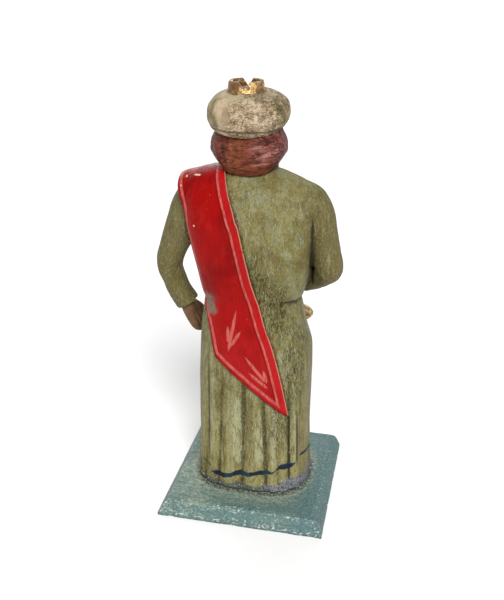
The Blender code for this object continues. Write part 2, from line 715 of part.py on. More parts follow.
def make_left_hand(material, collection):
    """Left hand hanging at the hip, the fingers parted by grooves."""
    centres = [Vector(point[:3]) for point in LEFT_HAND]
    rings = []
    for k, (x, y, height, half_width, half_thickness) in enumerate(LEFT_HAND):
        ahead = (centres[min(k + 1, len(centres) - 1)] - centres[max(k - 1, 0)]).normalized()
        wide = Vector((math.cos(math.radians(LEFT_HAND_TURN)),
                       math.sin(math.radians(LEFT_HAND_TURN)), 0.0))
        wide = (wide - ahead * wide.dot(ahead)).normalized()
        thick = ahead.cross(wide)
        parted = smooth_step(*FINGER_GROOVE_START, k) * FINGER_GROOVE
        ring = []
        for step in range(LEFT_HAND_SIDES):
            angle = math.tau * step / LEFT_HAND_SIDES
            wave = abs(math.sin(math.cos(angle) * math.pi * FINGER_COUNT / 2))
            groove = parted * (1 - wave) ** 2
            across = half_width * math.cos(angle)
            out = half_thickness * math.sin(angle) * (1 - groove)
            ring.append(centres[k] + wide * across + thick * out)
        rings.append(ring)
    return loft("left_hand", rings, material, collection)


def combine(base, tool, operation, solver):
    """Boolean of a form into another, keeping each form's own colour."""
    modifier = base.modifiers.new(tool.name, "BOOLEAN")
    modifier.operation = operation
    modifier.solver = solver
    modifier.material_mode = "TRANSFER"
    modifier.object = tool
    tool.hide_render = True
    tool.display_type = "WIRE"


def make_plinth(material, collection):
    """Square board whose four edges are planed to a wide bevel."""
    builder = bmesh.new()
    bmesh.ops.create_cube(builder, size=1.0)
    for vert in builder.verts:
        side, depth, level = vert.co
        vert.co = (side * PLINTH_SIDE, depth * PLINTH_SIDE, (level + 0.5) * PLINTH_THICKNESS)
    bmesh.ops.bisect_plane(
        builder,
        geom=[*builder.verts, *builder.edges, *builder.faces],
        plane_co=(0.0, 0.0, PLINTH_UPRIGHT_EDGE),
        plane_no=(0.0, 0.0, 1.0),
    )
    top_share = 1 - 2 * PLINTH_BEVEL_RUN / PLINTH_SIDE
    for vert in builder.verts:
        if vert.co.z > PLINTH_UPRIGHT_EDGE * 2:
            vert.co.x *= top_share
            vert.co.y *= top_share
    return mesh_object("plinth", builder, material, collection)


def make_figure(parts, forms, materials):
    """The carved block: every form joined to the robe."""
    figure = make_robe(materials["painted_robe"], parts)
    figure.name = "figure"
    for name, path in (("right_sleeve", RIGHT_SLEEVE), ("left_sleeve", LEFT_SLEEVE)):
        sleeve = make_sleeve(name, path, materials["painted_robe"], forms)
        combine(figure, sleeve, "UNION", UNION_SOLVER)
    bpy.context.view_layer.update()
    body_tree = BVHTree.FromObject(figure, bpy.context.evaluated_depsgraph_get())
    skin = materials["painted_skin"]
    hair = materials["painted_hair"]
    gold = materials["gold_leaf"]
    moustache_right = [(2 * HEAD_CENTRE[0] - x, *rest) for x, *rest in MOUSTACHE]
    joined = [
        make_sash(body_tree, materials["painted_sash"], forms),
        make_head(skin, forms),
        make_hair(hair, forms),
        make_beard(hair, forms),
        make_tube("moustache_left", MOUSTACHE, MOUSTACHE_SIDES, hair, forms),
        make_tube("moustache_right", moustache_right, MOUSTACHE_SIDES, hair, forms),
        make_turban(materials["painted_turban"], forms),
        make_crown(gold, gold, forms),
        turned("jar", JAR_CENTRE, JAR, JAR_SIDES, gold, forms),
        make_tube("right_wrist", RIGHT_WRIST, WRIST_SIDES, skin, forms),
        make_fist(skin, forms),
        make_tube("right_thumb", RIGHT_THUMB, THUMB_SIDES, skin, forms),
        make_left_hand(skin, forms),
        make_tube("left_thumb", LEFT_THUMB, THUMB_SIDES, skin, forms),
    ]
    for form in joined:
        combine(figure, form, "UNION", UNION_SOLVER)
    return figure


def main():
    for leftover in list(bpy.data.objects):
        bpy.data.objects.remove(leftover, do_unlink=True)
    parts = bpy.data.collections.new("nativity_wise_man")
    forms = bpy.data.collections.new("carving_forms")
    for collection in (parts, forms):
        bpy.context.scene.collection.children.link(collection)
    materials = {name: make_material(name) for name in COLOURS}
    make_plinth(materials["painted_board"], parts)
    make_figure(parts, forms, materials)


main()
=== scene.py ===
"""Looks of the nativity wise man: carved wood, painted by hand, on a painted board.

The carving is built again in finer mesh from the same forms as the solid, in carver's units, of
which the figure is 212 tall, measured from its foot. One piece stands for each CAD node.
"""

import math

import bmesh
import bpy
import numpy as np
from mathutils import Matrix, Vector, noise
from mathutils.bvhtree import BVHTree
from mathutils.kdtree import KDTree


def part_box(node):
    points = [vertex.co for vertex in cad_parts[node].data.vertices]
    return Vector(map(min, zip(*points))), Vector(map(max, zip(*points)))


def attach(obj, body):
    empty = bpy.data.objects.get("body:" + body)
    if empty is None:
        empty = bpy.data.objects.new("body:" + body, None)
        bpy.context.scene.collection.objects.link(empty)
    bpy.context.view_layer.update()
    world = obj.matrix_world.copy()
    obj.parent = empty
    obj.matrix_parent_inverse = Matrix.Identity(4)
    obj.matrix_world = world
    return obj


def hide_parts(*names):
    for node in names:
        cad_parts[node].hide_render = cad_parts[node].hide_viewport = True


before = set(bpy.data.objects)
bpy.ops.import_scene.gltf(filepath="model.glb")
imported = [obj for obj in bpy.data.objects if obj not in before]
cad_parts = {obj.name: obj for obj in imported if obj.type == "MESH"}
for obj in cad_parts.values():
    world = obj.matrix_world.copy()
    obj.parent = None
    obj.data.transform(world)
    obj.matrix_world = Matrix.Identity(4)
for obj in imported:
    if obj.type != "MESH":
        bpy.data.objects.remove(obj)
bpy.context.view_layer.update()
FIGURE_LOW, FIGURE_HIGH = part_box("figure")
PLINTH_LOW, PLINTH_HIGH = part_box("plinth")

FIGURE_UNITS = 212
UNIT = (FIGURE_HIGH.z - FIGURE_LOW.z) / FIGURE_UNITS
FOOT = FIGURE_LOW.z
MILLIMETRE = 0.001

# Camera, in metres and degrees, from the board's four corners in the photograph
CAMERA_PLACE = (-0.0748, 0.349, 0.27)
CAMERA_FORWARD = (0.2147, -0.9767)
CAMERA_PITCH = 24.1
CAMERA_LENS = 45.6
SENSOR = 36

# Lights: name, direction it comes from, strength and width in degrees. Then the sky's strength
LIGHTS = [
    ("key", (-0.27, 0.66, 0.7), 3.3, 30),
    ("fill", (0.35, -0.85, 0.4), 1.5, 60),
]
SKY_STRENGTH = 0.4
FLOOR_HALF = 40

# Robe: height, half width, depth behind, depth in front, squareness, shift to the figure's left
ROBE = [
    (0, 31, 25, 25.2, 2.9, 0), (10, 30.5, 24.4, 24.6, 2.8, 0), (34, 29.8, 23.2, 23.8, 2.7, 0),
    (60, 29.8, 22.4, 23.4, 2.6, -0.3), (78, 29.3, 21.7, 22.6, 2.5, -0.6),
    (90, 27.5, 20.8, 21.6, 2.4, 0.5), (99, 25.8, 19.9, 20.8, 2.4, 0.9),
    (105, 24.8, 19.4, 20.4, 2.5, 1.1), (110, 26, 19.9, 21, 2.7, 0.7),
    (121, 28, 20.6, 21.8, 2.9, 0.6), (131, 29.7, 20.8, 21.8, 3, 1),
    (145, 31.6, 20.4, 20.8, 2.9, 1.8), (153, 32.4, 19.2, 18.8, 2.6, 2),
    (159, 32.4, 17.6, 16.8, 2.4, 2.2), (163.5, 30.8, 15.8, 15, 2.2, 2.4),
    (167, 26.6, 13.8, 13, 2.1, 2.6), (169.7, 20.4, 12, 11.2, 2, 2.8), (172, 13, 10.6, 9.6, 2, 3),
    (175, 9.2, 9.2, 8.6, 2, 3.1), (184, 8.4, 8.4, 8, 2, 3.1),
]
# Creases: angle at the hem, angle at the waist, depth, height where it ends
CREASES = [
    (-162, -160, 1.3, 88), (-140, -141, 1, 70), (-117, -119, 1.3, 84), (-91, -92, 0.8, 72),
    (-65, -64, 1, 92), (-50, -49, 2.2, 82), (-38, -35, 0.9, 58), (-26, -20, 1.7, 80),
    (5, 4, 1.5, 92), (35, 34, 1.5, 90), (51, 49, 1, 84), (70, 66, 1.1, 78), (91, 90, 0.8, 70),
    (116, 118, 1.3, 84), (138, 140, 1.1, 72), (158, 160, 1.4, 86), (178, 179, 0.9, 76),
]
CREASE_RUN_OUT = 45
CREASE_NARROWNESS = 1.7
GATHER_DEPTH = 0.55
GATHER_REACH = 8
BELT_HEIGHT = 106
BELT_RISE_BEHIND = 3.5
BELT_RISE_REACH = 14
BELT_DEPTH = 0.9
BELT_WIDTH = 1.5
BELT_FADE_BEHIND = 0.85
ROBE_ROWS = 240
ROBE_EVEN_TO = 176
ROBE_NECK_ROWS = (180, 184)
ROBE_COLUMNS = 300
ROBE_VOXEL = 0.89
BLEND_ROUNDS = 10
# Where the shoulders are blended: middle of the back, from and to beside it, from and to in height
SHOULDER_MIDDLE = 2
SHOULDER_SIDE = (17, 24)
SHOULDER_RISE = (140, 156)
# Knife marks and grain: squeeze in height, size and depth. Gathers: height, reach and depth
CUTS = (0.45, 9, 0.16)
GRAIN = (0.35, 3.2, 0.06)
GATHERS = [(113, 15, 0.34), (97, 12, 0.2)]
GATHER_AXIS = 1.5
GATHER_SPREAD = (0.5, 0.25)
GATHER_SIZE = 2
RELIEF_SINK = 0.1
RELIEF_CLEAR = 3

# Sleeves: centre x, y, height and radius at each bend, from the shoulder to the cuff
RIGHT_SLEEVE = [
    (-18.5, -1, 159.5, 5), (-22, -1.2, 158.2, 8.8), (-26, -1.4, 154.4, 10.3),
    (-28.8, -1.6, 149, 10.2), (-31.7, -1.6, 140, 9), (-34.9, -1.4, 130, 7.8),
    (-36.8, -1.8, 122.8, 7.2), (-34.2, -6.6, 117.6, 6.5), (-28.6, -14.2, 112, 6.3),
    (-22, -21.5, 106.8, 6.2),
]
LEFT_SLEEVE = [
    (22, -1, 160, 5), (25.5, -1, 158.6, 8.8), (29.3, -1.2, 155.4, 10.5), (32.8, -1.2, 150, 10.5),
    (37.6, -0.8, 140, 9.2), (42.9, -0.6, 129, 7.4), (45.8, -0.8, 119, 6.8), (44, -2.2, 110.5, 6.3),
    (40.8, -3.6, 101.4, 6.4), (37.8, -4.6, 95.8, 6.5),
]
SLEEVE_SIDES = 44
TUBE_STEPS = 8
TUBE_SIDE_REFERENCE = (0.13, 1, 0.21)
DIGIT_SIDES = 20
WRIST_SIDES = 32
CUFF_WALL = 1.5
CUFF_DEPTH = 2.5

# Sash over the left shoulder: turn over the shoulder in degrees (0 behind, 90 on top, 180 in
# front), x and height of its inner and outer edge, and how far the outer edge stands off
SASH = [
    (0, -21.4, 46.7, 16.8, 78.3, 0), (0, -19.4, 58.5, 17.9, 82, 0), (0, -16.6, 72, 19.2, 88, 0),
    (0, -12.8, 86, 20.6, 94, 0), (0, -9, 97, 22.2, 99.5, 0), (0, -5.4, 109.5, 23.6, 106, 0),
    (0, -2.2, 120.3, 25, 115, 0), (0, 1.3, 135, 27.5, 128, 0.3), (0, 4.9, 149, 31, 142, 0.8),
    (15, 7.3, 151, 33.6, 150, 1.2), (40, 10.2, 151, 36, 151, 2.4), (65, 12.5, 151, 37.4, 151, 3.4),
    (90, 13.6, 151, 37.8, 151, 3.8), (115, 13.9, 151, 37.2, 151, 3.4),
    (140, 13.2, 151, 35.4, 151, 2.4), (165, 12.3, 150, 32.8, 150, 1.2),
    (180, 11.4, 142, 30.4, 140, 0.6), (180, 9.6, 127, 27, 126, 0), (180, 8.2, 112, 24.4, 113, 0),
    (180, 7.2, 100, 23.8, 102, 0), (180, 6.2, 84, 24.6, 88, 0), (180, 5, 66, 24, 76, 0),
]
SASH_THICKNESS = 1.7
SASH_BED = 2.6
SASH_COLUMNS = 30
SASH_ROWS = 290
SASH_RAY = 70
SASH_SMOOTHINGS = 12
SASH_ROUNDING = 0.5
SASH_MEAN_WIDTH = 26
SASH_EDGE_STEPS = (0.3, 2.2)

# Head. The centre is the middle of the skull at the height of the eyes.
HEAD_CENTRE = (3.1, -2.6, 183)
HEAD_HALF_WIDTH = 12.4
HEAD_HALF_DEPTH = 15.4
HEAD_HALF_HEIGHT = 17.6
HEAD_SQUARENESS = 2.5
HEAD_BOTTOM = -0.985
HEAD_TOP = 0.75
HEAD_COLUMNS = 150
HEAD_ROWS = 96
HEAD_FACE_DETAIL = 0.6
JAW_TAPER = 0.24
JAW_CURVE = 1.5
FACE_EDGE = (0.15, 0.6)
# Forms of the face: reach, place to each side, width, place above the eyes, width up and down
FACE_FORMS = [
    (0.7, 5, 4, 4.4, 1.5), (-1.5, 5.1, 3, 0.9, 2.2), (1.3, 5.1, 2.3, 0.3, 1.5),
    (-0.3, 5.1, 3, 2.3, 0.35), (0.28, 5.1, 2.6, 1.4, 0.4), (0.2, 5.1, 2.5, -1.5, 0.45),
    (0.8, 6.6, 2.8, -5.6, 2.8), (0.9, 0, 2.9, -10.3, 0.9), (0.9, 0, 2.4, -12.3, 1),
    (-0.5, 0, 3, -11.3, 0.3), (0.9, 1.7, 0.9, -6.3, 1.2), (1.4, 0, 3.2, -16, 2),
]
NOSE_REACH = 3.3
NOSE_WIDTH = 1.5
NOSE_FLARE = 0.16
NOSE_TOP = 4.5
NOSE_TIP = -5.5
NOSE_UNDERSIDE = (-8.4, -6.6)
EYE_SIDE = 5.1
EYE_RISE = 0.3
MOUSTACHE = [
    (3.4, -18.4, 173.6, 0.9), (5.6, -17.8, 173, 1.5), (8.2, -15.6, 171.4, 1.3),
    (10.4, -13, 168.8, 0.7),
]

# Hair: height, half width, depth behind, depth in front
HAIR = [
    (169, 7, 8.2, 1), (170.4, 10.6, 12.2, 3), (173.4, 13.4, 14.9, 4.6), (177.5, 16.4, 16.2, 5.6),
    (181.6, 18.4, 16.5, 6.2), (184.6, 18.2, 16.2, 6.4), (191.5, 15.2, 13.8, 6), (196.5, 12, 11, 5),
]
HAIR_SQUARENESS = 2.5
HAIR_SHIFT = 2.9
HAIR_CREASES = [-150, -112, -84, -60, -26, 16, 58, 84, 112, 150]
HAIR_CREASE_DEPTH = 0.55
HAIR_CREASE_FOOT = (170, 176)
HAIR_CREASE_HEAD = (190, 184)
HAIR_ROWS = 60
HAIR_COLUMNS = 150
HAIR_STRAND = 0.16
HAIR_STRANDS = (5, 0.9)
STRAND_SINK = 0.3
LOCK_SHARPNESS = 1.5

# Beard: height, half width, front, back
BEARD = [
    (153.5, 1.6, -20.2, -15.6), (156, 4.2, -21, -13.4), (160, 7.2, -21.2, -10.4),
    (165, 10.2, -20, -7), (169, 12.2, -17.8, -3), (173.5, 13.5, -14, 1), (179, 13.8, -9.4, 2),
    (185, 13.6, -7.2, 2),
]
BEARD_SQUARENESS = 2.2
BEARD_LOCKS = 9
BEARD_LOCK_DEPTH = 0.6
BEARD_LOCK_PHASE = 0.8
BEARD_FULL_WIDTH = 8
BEARD_ROWS = 64
BEARD_COLUMNS = 140
BEARD_STRAND = 0.14
BEARD_STRANDS = (9, 0.12)
BEARD_SWAY = (0.22, 0.42)

# Turban
TURBAN_CENTRE = (3.6, -0.6, 197.9)
TURBAN_RADIUS = 19.4
TURBAN_HALF_HEIGHT = 10.5
TURBAN_TILT = 0.19
TURBAN_TILT_SHARE = (1, 0.4)
TURBAN_ROUNDNESS = 2.35
TURBAN_ROWS = 64
TURBAN_COLUMNS = 150
TURBAN_FOLDS = 5
TURBAN_FOLD_DEPTH = 0.55
TURBAN_FOLD_SLANT = 0.36
TURBAN_RIM_RISE = -0.62
TURBAN_RIM_WIDTH = 0.065
TURBAN_RIM_DEPTH = 1.2
TURBAN_SIDE_FOLDS = (-0.98, 1.08, 2.6, -2.3)
TURBAN_SIDE_FOLD_SLANT = 0.25
TURBAN_SIDE_FOLD_WIDTH = 0.05
TURBAN_SIDE_FOLD_FOOT = (-1.2, -0.5)
TURBAN_FOLD_NARROWNESS = 2.4
TURBAN_FOLD_SHARE = 0.4
TURBAN_RIM_BEHIND = (-0.2, 0.3)
TURBAN_DENTS = (8, 0.35, 0.1)

# Crown
CROWN_CENTRE = (4.7, -0.4)
CROWN_BASE = 203.5
CROWN_FOOT_RADIUS = 9.3
CROWN_FOOT_TOP = 208.2
CROWN_FOOT_STEP = 1
CROWN_RADIUS = 8.6
CROWN_TOP_RADIUS = 8.2
CROWN_WALL = 1.3
CROWN_FLOOR = 206.2
CROWN_NOTCHES = 4
CROWN_NOTCH_WIDTH = 5
CROWN_NOTCH_BOTTOM = 208.3
CROWN_NOTCH_TURN = -5.5
CROWN_NOTCH_LENGTH = 8
CROWN_SIDES = 96
CROWN_ROUNDING = (0.2, 0.25)
CROWN_INNER_DRAFT = 0.05

# Jar in the right hand: height and radius down its outer side, lid to foot
JAR_CENTRE = (-14.2, -30.4)
JAR = [
    (110.6, 0), (110, 1.2), (108.6, 1.5), (107.4, 1), (106.4, 2.6), (104.6, 4.6),
    (103.6, 4.9), (102.6, 4.2), (100, 3.6), (93.5, 3.6), (88.6, 4.4), (86, 8),
    (84, 11.4), (83.2, 11.9), (82.4, 11.4), (80, 8), (76, 4.6), (74, 3.8),
    (72.8, 4.6), (71.2, 6), (70, 6), (70, 0),
]
JAR_SIDES = 64
JAR_STEPS = 3

# Right hand, closed round the jar's neck
FIST_BOTTOM = 91.8
FIST_CENTRE = (-13.6, -29.4)
FIST_RADIUS = 5.9
FINGER_THICKNESS = 2.9
FINGER_COUNT = 4
FINGER_STEPS = 10
FIST_SIDES = 48
FINGER_ROLL = 0.2
FINGER_ROUNDNESS = 0.6
RIGHT_WRIST = [(-22.8, -20.6, 107.4, 4.2), (-18.2, -24.6, 103.8, 4.4), (-15, -27.8, 99, 5)]
RIGHT_THUMB = [
    (-12.4, -25.4, 99, 2.2), (-9.2, -28.4, 100.2, 2.2), (-9.6, -32.2, 101, 2),
    (-12.6, -34.8, 101.2, 1.6),
]

# Left hand: centre line, half width and half thickness
LEFT_HAND = [
    (40.6, -3.8, 102.5, 3.8, 3.4), (38.8, -4.4, 98, 4.1, 3.6), (36.6, -4.8, 92.6, 5, 3.9),
    (34.4, -5.8, 87, 5.1, 3.8), (32.4, -6.8, 82.2, 4.3, 3.2), (31, -7.4, 80.2, 2.5, 1.8),
]
LEFT_HAND_TURN = 70
LEFT_HAND_ROWS = 44
LEFT_HAND_SIDES = 64
FINGER_GROOVE = 0.286
FINGER_GROOVE_START = (1.6, 3)
LEFT_THUMB = [(34.9, -7.6, 94.2, 2), (32.6, -10.2, 91, 1.9), (30.8, -11, 87.2, 1.5)]

# Board
PLINTH_UPRIGHT_EDGE = 1.4
PLINTH_BEVEL_RUN = 4.6
PLINTH_STEPS = 88
LOST_CORNER = 84
LOST_CORNER_LEAN = 0.15
# Rows of the board's mesh across its edges: off the flat's edge, and in from the outer edge
FLAT_EDGE_ROWS = (0.3, 0, -0.35)
BEVEL_ROWS = (0, 0.35, 1.2, 2.1, 3, 3.9)
# Uneven top: size, height and sink. Rubbed edge: depth, width and size of its noise
BOARD_UNEVEN = (13, 0.14, 0.12)
BOARD_RUB = (0.22, 0.6, 5)
# Bites out of the upright edge: size, seed, from and to in the noise, depth
BOARD_BITES = [(3.4, 33, 0.15, 0.55, 0.5), (11, 34, 0.1, 0.6, 0.25)]
BOARD_BITE_ALL_OVER = 0.08

# Painted hem: angle, height of the band's middle, its half width, top of the grey foot
HEM_BAND = [
    (-180, 10, 0.9, 3.6), (-150, 11, 1, 4), (-120, 11.5, 0.9, 3.4),
    (-95, 15, 0.8, 4.5), (-80, 18.5, 0.9, 6.5), (-68, 19.4, 0.9, 7.6), (-61, 18, -0.6, 8),
    (-56, 16.4, 0.4, 7.8), (-50, 15.9, 1.7, 7.4), (-41, 16.2, 1.5, 6.4), (-36, 14.4, 0.4, 5.6),
    (-31, 12.6, 0.7, 4.8),
    (-24, 12.5, 1.4, 4), (-12, 11.8, 1.1, 3.6), (0, 10.4, 1.3, 3.4), (10, 10.8, 1.5, 3.6),
    (22, 8.2, 1.2, 3.4), (34, 7.5, 1.4, 3.2), (40, 7.8, 0.8, 3), (44, 8.6, -0.6, 3),
    (55, 12, -0.8, 2.6), (68, 14.5, 0.3, 2.6), (85, 14, 0.8, 3.4), (120, 11, 1, 3.8),
    (150, 10.5, 0.9, 3.4), (180, 10, 0.9, 3.6),
]
# Sprigs painted on the sash: strokes from (x, height) to (x, height), carver's units
SPRIG_STROKES = [
    ((5.4, 104.6), (9.1, 83.3)),
    ((9.5, 96.4), (9.2, 87.9)),
    ((2.9, 94.5), (8.1, 85.9)),
    ((0.6, 81.1), (-10.5, 67.4)),
    ((-1.6, 72.4), (-11, 64.5)),
    ((-8.8, 74.2), (-10.5, 67.4)),
]
SPRIG_HALF_WIDTH = 0.78
# Rubbed patch at the sash's outer edge: from and to, x and height in millimetres
RUBBED = ((21.2, 120.5), (17.6, 108.5))
# Border lines of the sash, by distance from its edge in millimetres: from, to
INNER_WORN = (0.65, 0.25)
INNER_BRIGHT = (0.5, 3.2)
INNER_LINE = (3.5, 4.6)
INNER_DARK = (4.8, 5.4)
OUTER_LINE = (1.7, 3.2)
END_LINE = (2.3, 3.9)
# Places where the paint is scratched to the dark ground: x, height, reach in x and in height
SCRATCHED = [
    (-2, 114, 9, 18), (-12, 104, 7, 14), (-17.5, 46, 4, 22),
    (-24, 74, 4, 20),
]

# Lines in the robe's paint behind, from (x, z) to (x, z) and half width, all in millimetres.
# First, painted shadow along creases of the robe
CREASE_SHADOWS = [
    ((-21.4, 61), (-22.4, 17), 0.42), ((-25.2, 56), (-26.2, 23), 0.36),
    ((20.9, 88), (21.3, 24), 0.34), ((-29.4, 160), (-29.2, 138), 0.42),
    ((-29.3, 146), (-28.3, 118), 0.9), ((-16.5, 117.4), (-23.6, 115.6), 0.55),
    ((26, 20.8), (19.6, 19.2), 0.42),
]
# Painted shade down the fold valleys and beside the right arm
SHADE_BANDS = [
    ((-31.2, 163), (-30.6, 117), 2.6), ((13, 52), (12.4, 22), 1.3),
    ((-1.6, 72), (-2, 24), 1.9), ((-11, 56), (-11.6, 24), 1.2),
    ((16, 84), (15.4, 52), 1.4),
]
# Painted highlights along the fold ridges
HIGHLIGHT_BANDS = [
    ((19, 90), (19.6, 25), 0.4), ((4.6, 66), (4.2, 24), 2.6),
    ((-6.6, 58), (-7, 24), 1.7), ((-14.2, 54), (-14.8, 24), 1.2),
    ((-24, 56), (-24.6, 24), 0.7),
]
# Dark stain on the robe's foot: its angle from straight behind, its height and its reach
STAIN_TURN = 52
STAIN_HEIGHT = 5
STAIN_REACH = (20, 10)
SCRATCHED_ALL_OVER = 0.15
VALLEY_DEPTH = 1.4
VALLEY_LIMIT = 1.3
# Depths in millimetres that count as hollow, beside a little and a much smoothed surface
HOLLOW_DEPTHS = (0.1, 0.28)
HOLLOW_LIMIT = 1.5
SHARP_ANGLES = (48, 30)
# Places where the sash's paint is chipped to the gesso, the same way
SASH_CHIPS = [
    ((28.6, 176.5), (24.8, 177), 0.28), ((33.3, 175), (32.3, 175.3), 0.36),
    ((35.2, 171.5), (34.8, 170.9), 0.34), ((26.6, 154.9), (26, 154.1), 0.4),
]
# Painted shade along the folds at the turban's sides, the same way
TURBAN_FOLD_SHADES = [
    ((-10, 214.5), (-15, 203.5), 0.8), ((17.2, 213.5), (18.6, 205), 0.9),
    ((18, 207), (15, 200.4), 1.2),
]
# Painted shadows between the locks of the hair behind, then painted highlights on the locks, the
# same way
LOCK_SHADOWS = [
    ((-0.4, 187.6), (-4.6, 189.4), 0.75), ((13.4, 196), (11.2, 184), 0.8),
    ((-7.4, 197), (-8.6, 193.6), 0.6), ((9, 182.4), (-4, 180.2), 0.5),
]
LOCK_HIGHLIGHTS = [
    ((-3.6, 187.4), (-13.4, 191), 1), ((2, 191.6), (-8, 193), 0.7),
    ((-1, 184), (-9, 184.6), 0.6),
]

# Oval marks painted on the face: place to each side, place above the eyes, half width, half
# height, softness of the edge, strength, colour
FACE_MARKS = [
    (6.6, -5.6, 4, 3.4, 0.6, 0.35, (0.28, 0.1, 0.062)),
    (EYE_SIDE, EYE_RISE - 0.1, 2.5, 1.1, 0.12, 1, (0.42, 0.37, 0.29)),
    (EYE_SIDE - 0.1, EYE_RISE + 0.1, 1.1, 1.05, 0.12, 1, (0.04, 0.018, 0.01)),
    (EYE_SIDE, EYE_RISE + 1.05, 2.9, 0.5, 0.25, 0.9, (0.03, 0.014, 0.008)),
    (EYE_SIDE, EYE_RISE + 2.2, 3, 0.35, 0.25, 0.6, (0.06, 0.03, 0.016)),
    (EYE_SIDE, 4.6, 3.7, 0.75, 0.25, 0.9, (0.085, 0.03, 0.018)),
    (0, -11.3, 3.1, 1.6, 0.25, 0.8, (0.23, 0.05, 0.038)),
]

